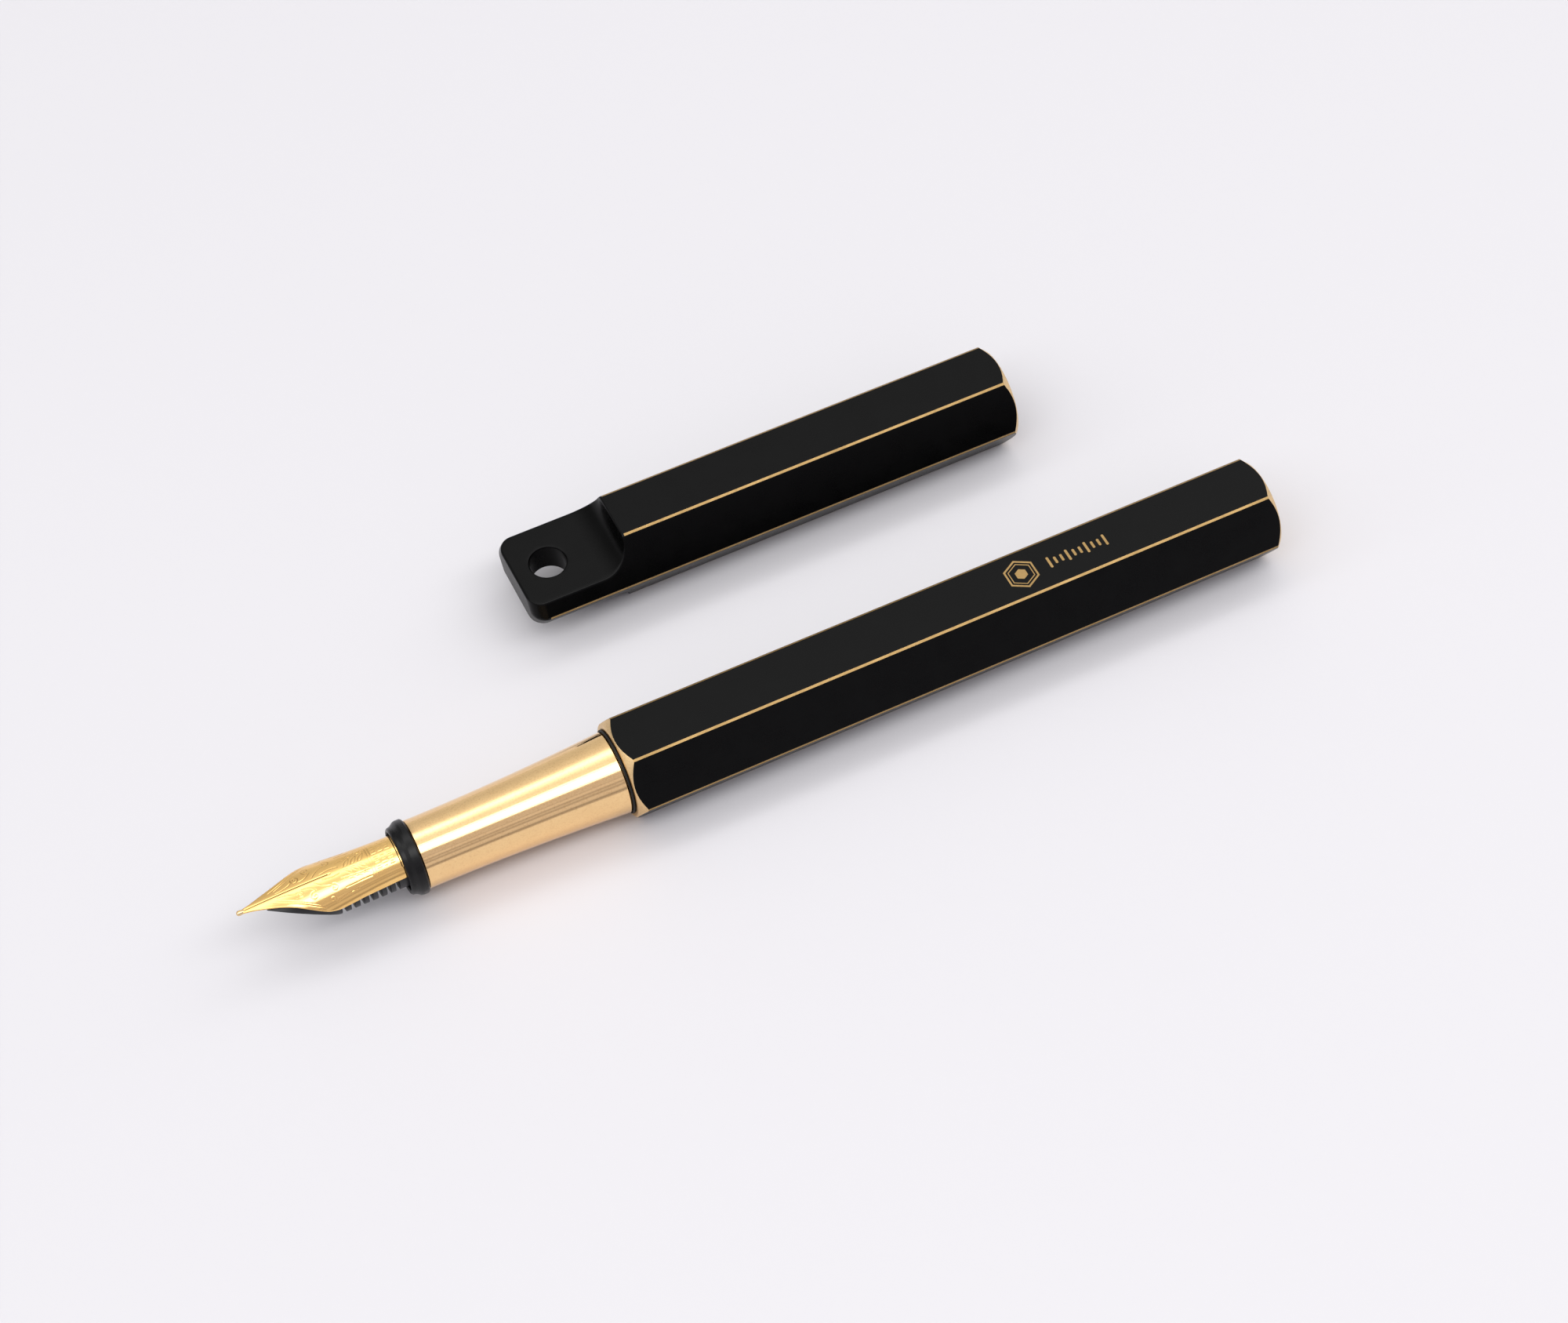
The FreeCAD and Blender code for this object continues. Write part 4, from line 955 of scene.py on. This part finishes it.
# distance from the point, half width, ridge height, radius of the section
STATIONS = [(x, half_width, RIDGE + rise, radius) for x, half_width, rise, radius in [
    (0.30, 0.26, -0.22, 4.6), (1.20, 0.46, -0.17, 4.6), (2.50, 0.86, -0.10, 4.5),
    (4.00, 1.36, -0.03, 4.4), (5.50, 1.98, 0.02, 4.3), (7.00, 2.70, 0.05, 4.1),
    (8.20, 3.17, 0.06, 3.95), (9.00, 3.35, 0.06, 3.85), (9.80, 3.39, 0.05, 3.75),
    (11.0, 3.31, 0.04, 3.60), (13.0, 3.13, 0.02, 3.36), (15.5, 2.98, 0.01, 3.14),
    (17.6, 2.90, 0.0, 3.05), (25.0, 2.90, 0.0, 3.05)]]

# The ornament of one half of the nib; places are (distance from the point,
# distance across).
# Scrolls: centre x, centre across, radius, turns, start angle / pi, hand, line width
SCROLLS = [
    (6.6, 1.05, 0.52, 1.35, 0.9, 1, 0.055), (8.0, 1.75, 0.55, 1.25, -0.4, -1, 0.055),
    (10.2, 1.72, 0.5, 1.2, -0.5, 1, 0.055), (9.6, 2.75, 0.42, 1.1, 0.2, -1, 0.05)]
# Stems: four control points, line width
STEMS = [
    ((4.3, 0.28), (5.0, 0.35), (5.6, 0.42), (6.1, 0.82), 0.05),
    ((6.9, 0.52), (7.4, 0.5), (7.9, 0.7), (8.35, 1.22), 0.05),
    ((8.4, 0.4), (8.9, 0.9), (9.3, 1.2), (9.9, 1.3), 0.05),
    ((9.3, 0.35), (10.0, 0.55), (10.6, 0.6), (11.3, 0.42), 0.05),
    ((10.0, 3.2), (10.8, 2.9), (11.6, 2.75), (12.6, 2.7), 0.05),
    ((11.2, 1.0), (12.2, 1.15), (13.4, 1.2), (14.4, 1.2), 0.045),
    ((11.4, 2.15), (12.4, 2.05), (13.4, 2.0), (14.4, 2.0), 0.045)]
# Leaves, repeated at each of LEAF_PLACES: control points, line width, strength
LEAF_PLACES = (11.9, 12.7, 13.5)
LEAVES = [
    ((0, 0.12), (0.1, 0.55), (0.35, 0.8), (0.8, 0.95), 0.045, 1.0),
    ((0.8, 0.95), (0.7, 0.5), (0.5, 0.25), (0.25, 0.1), 0.04, 0.8),
    ((0.2, 1.35), (0.5, 1.25), (0.8, 1.4), (0.9, 1.75), 0.045, 0.9)]
# Borders along the edge: from, to, points, inset, line width, strength
BORDERS = [(3.6, 8.6, 30, 0.55, 0.06, 1.0), (4.2, 8.2, 26, 0.82, 0.04, 0.8)]
# Cross bands: place, line width, strength
CROSS_BANDS = [(14.65, 0.05, 1.0), (14.95, 0.05, 1.0), (17.75, 0.04, 0.8)]
BAR_ROWS = [(15.45, 0.36), (16.2, 0.46), (16.95, 0.36)]    # place, pitch across
BAR_HALF = 0.24


def station_slope(i, column):
    """Slope of a column of STATIONS that keeps the curve from overshooting."""
    def rise(k):
        return ((STATIONS[k + 1][column] - STATIONS[k][column])
                / (STATIONS[k + 1][0] - STATIONS[k][0]))
    if i == 0:
        return rise(0)
    if i == len(STATIONS) - 1:
        return 0.0
    before, after = rise(i - 1), rise(i)
    return 0.0 if before * after <= 0 else 2 * before * after / (before + after)


def station(x):
    """Half width, ridge height and radius of the nib at x from the point."""
    k = 0
    while k < len(STATIONS) - 2 and x > STATIONS[k + 1][0]:
        k += 1
    start, end = STATIONS[k][0], STATIONS[k + 1][0]
    span = end - start
    f = max(0.0, min(1.0, (x - start) / span))
    out = []
    for column in (1, 2, 3):
        slope_a = station_slope(k, column) * span
        slope_b = station_slope(k + 1, column) * span
        out.append((2 * f ** 3 - 3 * f ** 2 + 1) * STATIONS[k][column]
                   + (f ** 3 - 2 * f ** 2 + f) * slope_a
                   + (-2 * f ** 3 + 3 * f ** 2) * STATIONS[k + 1][column]
                   + (f ** 3 - f ** 2) * slope_b)
    return out


def scroll(centre_x, centre_u, radius, turns, start, hand):
    points = []
    for f in (k / 26 for k in range(27)):
        r = radius * (1 - 0.86 * f)
        a = math.pi * start + hand * 2 * math.pi * turns * f
        points.append((centre_x + r * math.cos(a), centre_u + r * math.sin(a)))
    return points


def stem(*controls):
    """A cubic curve through four control points."""
    a, b, c, d = (np.array(p) for p in controls)
    return [(1 - t) ** 3 * a + 3 * t * (1 - t) ** 2 * b + 3 * t * t * (1 - t) * c + t ** 3 * d
            for t in (k / 18 for k in range(19))]


def border(start, end, count, inset):
    points = []
    for x in np.linspace(start, end, count):
        half_width, _, radius = station(x)
        points.append((x, max(0.15, radius * math.asin(half_width / radius) - inset)))
    return points


def ornament():
    """Scrollwork as (polyline, line width, strength)."""
    lines = [(border(*row[:4]), row[4], row[5]) for row in BORDERS]
    lines += [(scroll(*row[:6]), row[6], 1.0) for row in SCROLLS]
    lines += [(stem(*row[:4]), row[4], 1.0) for row in STEMS]
    for place in LEAF_PLACES:
        for *controls, width, strength in LEAVES:
            lines.append((stem(*((place + x, u) for x, u in controls)), width, strength))
    lines += [([(x, 0.0), (x, 2.35)], width, strength) for x, width, strength in CROSS_BANDS]
    # rows of bars, long and short in turn
    for x, pitch in BAR_ROWS:
        u = pitch / 2
        k = 0
        while u < 1.75:
            half = BAR_HALF * (1.0 if k % 2 == 0 else 0.55)
            lines.append(([(x - half, u), (x + half, u)], 0.05, 0.9))
            u += pitch
            k += 1
    return lines


def engraving(lines, x, u):
    """Depth 0..1 of the engraving at the points (x, u)."""
    depth = np.zeros(x.shape)
    for points, width, strength in lines:
        line = np.array(points, float)
        low, high = line.min(0) - 0.4, line.max(0) + 0.4
        near = (x > low[0]) & (x < high[0]) & (u > low[1]) & (u < high[1])
        if not near.any():
            continue
        near_x, near_u = x[near], u[near]
        best = np.full(near_x.shape, 9.0)
        for a, b in zip(line[:-1], line[1:]):
            d = b - a
            t = np.clip(((near_x - a[0]) * d[0] + (near_u - a[1]) * d[1]) / float(d @ d), 0, 1)
            best = np.minimum(best, np.hypot(near_x - a[0] - t * d[0],
                                             near_u - a[1] - t * d[1]))
        groove = np.clip(1.25 - best / width, 0, 1)
        groove = groove * groove * (3 - 2 * groove) * strength
        depth[near] = np.maximum(depth[near], groove)
    return depth


def nib_sheet():
    """The +Y half is made as rings of columns: top, edge, underside; then
    mirrored."""
    top_cols, edge_cols, under_cols = 62, 5, 12
    cols = top_cols + edge_cols + under_cols
    rows = [0.30, 0.36, 0.45, 0.6, 0.8, 1.05, 1.3, 1.6, 1.9, 2.2, 2.5, 2.8, 3.1, 3.35]
    rows += list(np.arange(3.5, 18.05, 0.075))     # fine rows for the engraving
    rows += [18.3, 18.8, 19.6, 20.6, 21.8, 23.2, 24.4, 24.9, 24.96, 25.0]
    rows = sorted({round(x, 4) for x in rows + [10.02, SLIT_END, 10.14]})
    lines = ornament()
    tip_x = front("nib")
    edge_r = THICK / 2
    edge_turn = np.array([(k + 1) / (edge_cols + 1) * math.pi for k in range(edge_cols)])
    rings, depths = [], []
    for x in rows:
        half_width, ridge_z, radius = station(x)
        cut = SLIT_HALF * (0.45 + 0.55 * x / SLIT_END)
        inner = cut / radius if x < SLIT_END else 0.0
        outer = math.asin(half_width / radius) - edge_r / radius * 0.9
        top = inner + (outer - inner) * np.linspace(0, 1, top_cols)
        across = top * radius
        depth = engraving(lines, np.full(top_cols, x), across)
        soft = np.zeros(top_cols)
        if x < SLIT_END + 0.3:
            soft = 0.018 * np.exp(-(across - cut) / 0.04)
        edge = outer + edge_r * np.sin(edge_turn) / radius * 0.9
        under = outer + (inner - outer) * np.linspace(0, 1, under_cols)
        angle = np.concatenate([top, edge, under])
        r = np.concatenate([radius - ENGRAVING_DEPTH * depth - soft,
                            radius - edge_r + edge_r * np.cos(edge_turn),
                            np.full(under_cols, radius - THICK)])
        rings.append(np.column_stack([np.full(cols, tip_x + x), r * np.sin(angle),
                                      ridge_z - radius + r * np.cos(angle) + AXIS_Z]))
        depths.append(depth)
    faces, index = [], []
    for i in range(len(rows) - 1):
        quads = band(i, cols)
        if rows[i] >= SLIT_END:
            quads.pop()            # the halves join behind the slit
        faces += quads
        for j in range(len(quads)):
            if j < top_cols - 1:
                total = (depths[i][j] + depths[i][j + 1]
                         + depths[i + 1][j] + depths[i + 1][j + 1])
                index.append(1 if total > 1.9 else 0)
            else:
                index.append(0 if j < top_cols + edge_cols else 2)
    # front of the tine and the tail
    faces.append(tuple(range(cols - 1, -1, -1)))
    faces.append(tuple((len(rows) - 1) * cols + j for j in range(cols)))
    index += [0, 0]
    verts = np.vstack(rings)
    mirrored = verts * np.array([1, -1, 1])
    mirrored_faces = [tuple(len(verts) + q for q in reversed(f)) for f in faces]
    build("nib_sheet", "nib_feed", "nib", "gold_plate", np.vstack([verts, mirrored]),
          faces + mirrored_faces, [GOLD, GOLD_ENGRAVED, GOLD_INSIDE], index + index,
          sharp=45, merge=1e-4)


def nib_tip():
    """Two half grains beside the slit, drawn out towards the tines."""
    stretch, gap, flat_soft = 2.5, 0.02, 0.012
    segments, rings = 48, 18
    low, high = limits("nib_tipping")
    centre = 0.5 * (low + high)
    r = 0.5 * (high[1] - low[1])
    offsets = sorted([gap, gap + flat_soft] + [
        gap + (r - gap) * math.sin(math.radians(90 * k / rings)) for k in range(1, rings)])
    verts, faces = [], []
    for side in (1, -1):
        base = len(verts)
        for q, y in enumerate(offsets):
            ring_r = math.sqrt(max(0.0, r * r - y * y)) - (flat_soft if q == 0 else 0.0)
            for k in range(segments):
                a = 2 * math.pi * k / segments
                back = math.cos(a)
                verts.append((centre[0] + ring_r * back * (stretch if back > 0 else 1.0),
                              centre[1] + side * y, centre[2] + ring_r * math.sin(a)))
        pole = len(verts)
        verts.append((centre[0], centre[1] + side * r, centre[2]))
        half = []
        for q in range(len(offsets) - 1):
            half += band(q, segments, base)
        last = pole - segments
        half += [(last + k, last + (k + 1) % segments, pole) for k in range(segments)]
        half.append(tuple(base + k for k in reversed(range(segments))))
        faces += half if side < 0 else [tuple(reversed(f)) for f in half]
    build("nib_tip_ball", "nib_feed", "nib_tipping", "tipping_alloy", verts, faces, [TIPPING],
          sharp=50, weighted=False)


nib_sheet()
nib_tip()


# ------------------------------------------------------------------- converter
def ink_tube():
    total = length("converter_tube")
    turned("ink_tube", "converter", "converter_tube", "clear_plastic", CLEAR,
           front("converter_tube"),
           [(0, 1.46), (0, 2.55), (0.9, 3.45), (total, 3.45), (total, 2.95), (6.0, 2.95),
            (6.0, 1.26), (0.3, 1.26)], radius=0.15, steps=4)


def rod_guide():
    turned("rod_guide", "converter", "converter_guide", "black_plastic", KNOB_PLASTIC,
           front("converter_guide"),
           [(0, 1.28), (0, 2.73), (0.2, 2.93), (4.0, 2.93), (4.0, 1.28)], radius=0.06)


def piston():
    """Grooved plug and the lip seal in its groove."""
    start, groove = front("piston_head"), 1.0
    turned("piston_plug", "piston", "piston_head", "black_plastic", KNOB_PLASTIC, start,
           [(0, 0), (0, 2.4), (0.5, 2.9), (groove, 2.9), (groove, 2.3), (2.5, 2.3),
            (2.5, 2.9), (3.5, 2.9), (3.5, 0)], radius=0.07, closed=False)
    turned("lip_seal", "piston", "piston_seal", "black_rubber", RUBBER, start + groove,
           [(0.02, 2.31), (0.02, 2.93), (0.4, 2.93), (0.75, 2.68), (1.1, 2.93),
            (1.48, 2.93), (1.48, 2.31)], radius=0.1)


def piston_shaft():
    start, total = front("piston_rod"), length("piston_rod")
    rod_r, thread_x, lead, groove_depth = 1.2, 4.01, 3.0, 0.13

    def thread(x, r, angle, tag):
        """A fast two-start thread rolled into the rear part of the rod."""
        if tag != 1:
            return r
        phase = ((x - start) / lead - 2 * angle / (2 * math.pi)) % 1.0
        return r - groove_depth * max(0.0, 1 - abs(phase - 0.5) / 0.16)

    rod = [(start, 0, 0), (start, rod_r, 0), (start + 4.0, rod_r, 0)]
    rod += [(start + thread_x + (total - 4.4 - 0.01) * k / 150, rod_r, 1) for k in range(150)]
    rod += [(start + total - 0.3, rod_r, 0), (start + total, 0.9, 0), (start + total, 0, 0)]
    verts, faces, index = lathe(rod, 48, closed=False, radial=thread)
    build("piston_shaft", "piston", "piston_rod", "black_plastic", verts, faces,
          [ROD_PLASTIC, ROD_PLASTIC], index, sharp=40)


def metal_band():
    turned("metal_band", "converter", "converter_ferrule", "chrome_band", CHROME,
           front("converter_ferrule"),
           [(0, 3.47), (0, 3.58), (0.08, 3.66), (1.4, 3.66), (1.46, 3.61), (1.7, 3.61),
            (1.76, 3.66), (10.75, 3.66), (11.0, 3.41), (11.0, 2.34), (10.4, 2.34),
            (10.4, 3.47)], radius=0.06)


SPINDLE_X, SPINDLE_LEN = front("converter_spindle"), length("converter_spindle")


def drive_spindle():
    turned("drive_spindle", "knob", "converter_spindle", "black_plastic", KNOB_PLASTIC,
           SPINDLE_X,
           [(0, 1.28), (0, 2.8), (1.2, 2.8), (1.2, 1.9), (SPINDLE_LEN, 1.9), (SPINDLE_LEN, 0),
            (SPINDLE_LEN - 0.8, 0), (SPINDLE_LEN - 0.8, 1.28)], radius=0.05)


def turn_knob():
    start, total = front("converter_knob"), length("converter_knob")
    neck, knob_r, bore_r = 4.6, 3.3, 1.91
    flute_count, flute_depth = 16, 0.18
    bore_end = SPINDLE_X - start + SPINDLE_LEN + 0.1

    def flutes(x, r, angle, tag):
        if tag != 1:
            return r
        phase = (angle * flute_count / (2 * math.pi)) % 1.0
        depth = max(0.0, 1 - abs(phase - 0.5) * 2 / 0.52)
        depth = math.sqrt(depth * (2 - depth))
        fade = min(1.0, (x - (start + neck + 1.5)) / 0.35, (start + neck + 15.5 - x) / 0.35)
        return r - flute_depth * depth * max(0.0, fade)

    # (x from the front, r, tag); tag 1 marks the fluted edge
    outline = [(0, bore_r, 0), (0, 2.26, 0), (neck, 2.26, 0), (neck, 3.05, 0),
               (neck + 0.25, knob_r, 0), (neck + 1.4, knob_r, 1), (neck + 15.6, knob_r, 0),
               (total - 1.0, knob_r, 0), (total - 0.3, 3.1, 0), (total, 2.6, 0),
               (total, 0, 0)]
    outline = soften([(start + x, r, tag) for x, r, tag in outline], 0.1, closed=False)
    rows = []
    for a, b in zip(outline[:-1], outline[1:]):
        rows.append(a)
        if a[2] == 1 and b[0] - a[0] > 5:
            # close rows where the flutes run out
            places = [a[0] + 0.02 + 0.09 * j for j in range(1, 6)]
            places += list(np.linspace(a[0] + 0.8, b[0] - 0.8, 9))
            places += [b[0] - 0.02 - 0.09 * j for j in range(5, 0, -1)]
            rows += [(x, knob_r, 1) for x in places]
    rows.append(outline[-1])
    rows += [(start + bore_end, 0, 0), (start + bore_end, bore_r, 0)]
    verts, faces, index = lathe(rows, 192, radial=flutes)
    build("converter_turn_knob", "knob", "converter_knob", "black_plastic", verts, faces,
          [KNOB_PLASTIC, KNOB_PLASTIC], index, sharp=40)


ink_tube()
rod_guide()
piston()
piston_shaft()
metal_band()
drive_spindle()
turn_knob()


# ------------------------------------------------- inlaid mark on the barrel
def inlay_mark():
    """Nested hexagons and a row of bars on the barrel's top face."""
    verts, faces = [], []
    top, low = BARREL_HIGH[2] + 0.010, BARREL_HIGH[2] - 0.02

    def add_outline(outline):
        """Outline at both heights; returns its first vertex."""
        first = len(verts)
        verts.extend((x, y, z) for z in (top, low) for x, y in outline)
        return first

    def prism(outline):
        n = len(outline)
        b = add_outline(outline)
        faces.append(tuple(range(b, b + n)))
        faces.append(tuple(range(b + 2 * n - 1, b + n - 1, -1)))
        for j in range(n):
            k = (j + 1) % n
            faces.append((b + j, b + n + j, b + n + k, b + k))

    def frame(outer, inner):
        n = len(outer)
        b, c = add_outline(outer), add_outline(inner)
        for j in range(n):
            k = (j + 1) % n
            faces.append((b + j, b + n + j, b + n + k, b + k))
            faces.append((c + j, c + k, c + n + k, c + n + j))
            faces.append((b + j, b + k, c + k, c + j))
            faces.append((b + n + j, c + n + j, c + n + k, b + n + k))

    def hexagon(r, centre_x=9.5):
        angles = [math.radians(60 * k + 30) for k in range(6)]
        return [(centre_x + r * math.cos(a), r * math.sin(a)) for a in angles]

    frame(hexagon(2.05), hexagon(1.80))
    frame(hexagon(1.55), hexagon(1.42))
    prism(hexagon(0.75))
    first_x, pitch, width, cut = 12.9, 0.78, 0.30, 0.08
    for k in range(10):
        a = first_x + pitch * k
        b = a + width
        y = 0.78 if k % 3 == 0 else 0.48
        prism([(a + cut, -y), (b - cut, -y), (b, -y + cut), (b, y - cut),
               (b - cut, y), (a + cut, y), (a, y - cut), (a, -y + cut)])
    build("barrel_inlay_mark", "barrel", None, "polished_brass", verts, faces, [VERTEX_BRASS],
          sharp=30, weighted=False)


inlay_mark()


# ----------------------------------------------------------- floor, light, camera
def floor():
    s = Surface("pale_floor", units=1)
    cloud = s.noise(scale=1.6, detail=3, rough=0.5)
    grain = s.noise(scale=900.0, detail=2, rough=0.5)
    color = s.mix(s.ramp(cloud, span=(0.2, 0.8)), (0.551, 0.541, 0.561), (0.561, 0.551, 0.571))
    rough = s.ramp(grain, span=(0.3, 0.7), to=(0.62, 0.74))
    normal = s.bump(grain, strength=0.05, depth=0.02)
    material = s.finish(color, rough, 0.0, normal, Specular_IOR_Level=0.12)
    mesh = bpy.data.meshes.new("floor")
    half = 2.4
    mesh.from_pydata([(-half, -half, 0), (half, -half, 0), (half, half, 0), (-half, half, 0)],
                     [], [(0, 1, 2, 3)])
    mesh.materials.append(material)
    obj = bpy.data.objects.new("floor", mesh)
    obj.location = (0, 0, -0.00003)
    bpy.context.scene.collection.objects.link(obj)
    obj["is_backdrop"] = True


def area_light(name, size_x, size_y, radiance, color, location, back):
    """A rectangular light, long side along X, that shines away from `back`."""
    light = bpy.data.lights.new(name, "AREA")
    light.shape = "RECTANGLE"
    light.size = size_x
    light.size_y = size_y
    light.color = color
    light.energy = radiance * math.pi * size_y * size_x
    obj = bpy.data.objects.new(name, light)
    obj.location = location
    x = Vector((1, 0, 0))
    obj.rotation_euler = Matrix((x, back.cross(x), back)).transposed().to_euler()
    obj.visible_camera = False
    bpy.context.scene.collection.objects.link(obj)
    return obj


def softbox(name, lean, size_x, size_y, distance, radiance):
    """A soft light over the pen, lean degrees from straight up towards -Y."""
    t = math.radians(lean)
    back = Vector((0, -math.sin(t), math.cos(t))).normalized()
    location = Vector((0, 0.012, 0.0)) + back * distance
    area_light(name, size_x, size_y, radiance, (1, 1, 1), location, back)


def bounce():
    """The warm light that the bare brass grip throws on the floor beside it."""
    obj = area_light("brass_bounce", size_x=0.020, size_y=0.0035, radiance=0.30,
                     color=(1.0, 0.40, 0.09),
                     location=((front("grip_section") + 12.5) * MM, -0.0046, 0.0036),
                     back=Vector((0, 0.45, 1)).normalized())
    obj.visible_glossy = False


# Brightness of the studio round the X axis: degrees from straight up
# (positive towards -Y), brightness.
STUDIO_STOPS = [
    (-180, 0.5), (-100, 0.62), (-88, 0.74), (-74, 0.68), (-60, 0.74), (-48, 0.86),
    (-40, 0.98), (-34, 1.35), (-28, 2.3), (-23, 2.75), (-18, 2.4), (-12, 1.6), (-4, 1.16),
    (6, 1.25), (34.3, 1.25), (35.2, 0.67), (39, 0.76), (40.2, 0.44), (41.4, 0.74),
    (46, 0.62), (48.5, 0.78), (50, 0.42), (51.5, 0.70), (57, 0.78), (60, 0.44), (65, 0.68),
    (69, 0.44), (74, 0.76), (80, 0.68), (84, 0.34), (90, 0.60), (93, 0.86)]
RAMP_SCALE = 4.0     # the ramp holds brightness / 4, the strength restores it


def studio():
    world = bpy.data.worlds.new("studio")
    bpy.context.scene.world = world
    g = Graph(world)
    separate = g.node("ShaderNodeSeparateXYZ")
    g.put(separate.inputs[0], g.node("ShaderNodeTexCoord").outputs["Generated"])
    angle = g.math("ARCTAN2", g.times(separate.outputs["Y"], by=-1.0), separate.outputs["Z"])
    ramp = g.node("ShaderNodeValToRGB")
    g.put(ramp.inputs[0], g.ramp(angle, span=(-math.pi, math.pi)))
    ramp.color_ramp.interpolation = "LINEAR"
    elements = ramp.color_ramp.elements
    elements.remove(elements[-1])
    for i, (degrees, brightness) in enumerate(STUDIO_STOPS):
        position = (degrees + 180) / 360
        element = elements[0] if i == 0 else elements.new(position)
        element.position = position
        tone = (1.0, 0.965, 1.05) if degrees > 35 else (1.0, 1.0, 1.0)
        element.color = (*(brightness / RAMP_SCALE * c for c in tone), 1)
    # the low band on the +Y side is only bright over part of its length
    rise = g.ramp(separate.outputs["X"], span=(-0.12, 0.10), interpolation_type="SMOOTHSTEP")
    fall = g.ramp(separate.outputs["X"], span=(0.38, 0.60), to=(1.0, 0.0),
                  interpolation_type="SMOOTHSTEP")
    above = g.ramp(angle, span=(math.radians(-46), math.radians(-34)))
    bright = g.math("MAXIMUM", above, g.times(rise, by=fall))
    lit = g.node("ShaderNodeBackground")
    g.put(lit.inputs["Color"], ramp.outputs[0])
    g.put(lit.inputs["Strength"],
          g.ramp(bright, span=(0.0, 1.0), to=(0.5 * RAMP_SCALE, RAMP_SCALE)))
    # the camera itself sees a plain backdrop
    backdrop = g.node("ShaderNodeBackground")
    backdrop.inputs["Color"].default_value = (0.885, 0.872, 0.905, 1)
    backdrop.inputs["Strength"].default_value = 1.0
    mix = g.node("ShaderNodeMixShader")
    g.put(mix.inputs[0], g.node("ShaderNodeLightPath").outputs["Is Camera Ray"])
    g.put(mix.inputs[1], lit.outputs[0])
    g.put(mix.inputs[2], backdrop.outputs[0])
    g.put(g.node("ShaderNodeOutputWorld").inputs[0], mix.outputs[0])


def camera():
    """Looks at the target from the -X, -Y side, above."""
    azimuth, elevation = math.radians(-23.3615), math.radians(54.0161)
    roll = math.radians(-3.1449)
    distance = 0.3875
    target = Vector((-0.01607, 0.008625, 0.0))
    back = Vector((math.sin(azimuth) * math.cos(elevation),
                   -math.cos(azimuth) * math.cos(elevation), math.sin(elevation)))
    x = Vector((0, 0, 1)).cross(back).normalized()
    y = back.cross(x)
    right = math.cos(roll) * x + math.sin(roll) * y
    up = -math.sin(roll) * x + math.cos(roll) * y
    data = bpy.data.cameras.new("view_camera")
    data.sensor_fit = "HORIZONTAL"
    data.sensor_width = 36.0
    data.lens = 78.42654
    data.clip_start = 0.01
    data.clip_end = 20.0
    obj = bpy.data.objects.new("view_camera", data)
    matrix = Matrix((right, up, back)).transposed().to_4x4()
    matrix.translation = [t + b * distance for t, b in zip(target, back)]
    obj.matrix_world = matrix
    bpy.context.scene.collection.objects.link(obj)
    bpy.context.scene.camera = obj


floor()
softbox("soft_box_near", lean=21.5, size_x=3.0, size_y=0.58, distance=1.25, radiance=1.6)
softbox("soft_box_near_core", lean=22, size_x=2.6, size_y=0.30, distance=1.20, radiance=1.6)
bounce()
studio()
camera()
bpy.context.scene.view_settings.view_transform = "Standard"
bpy.context.scene.view_settings.look = "None"

visual_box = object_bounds()


def plain(b):
    """Boxes as plain lists and floats, for JSON."""
    if isinstance(b, dict):
        return {k: plain(v) for k, v in b.items()}
    if hasattr(b, "__len__") and not isinstance(b, str):
        return [plain(v) for v in b]
    return float(b)


{"cad": plain(cad_box), "visual": plain(visual_box)}
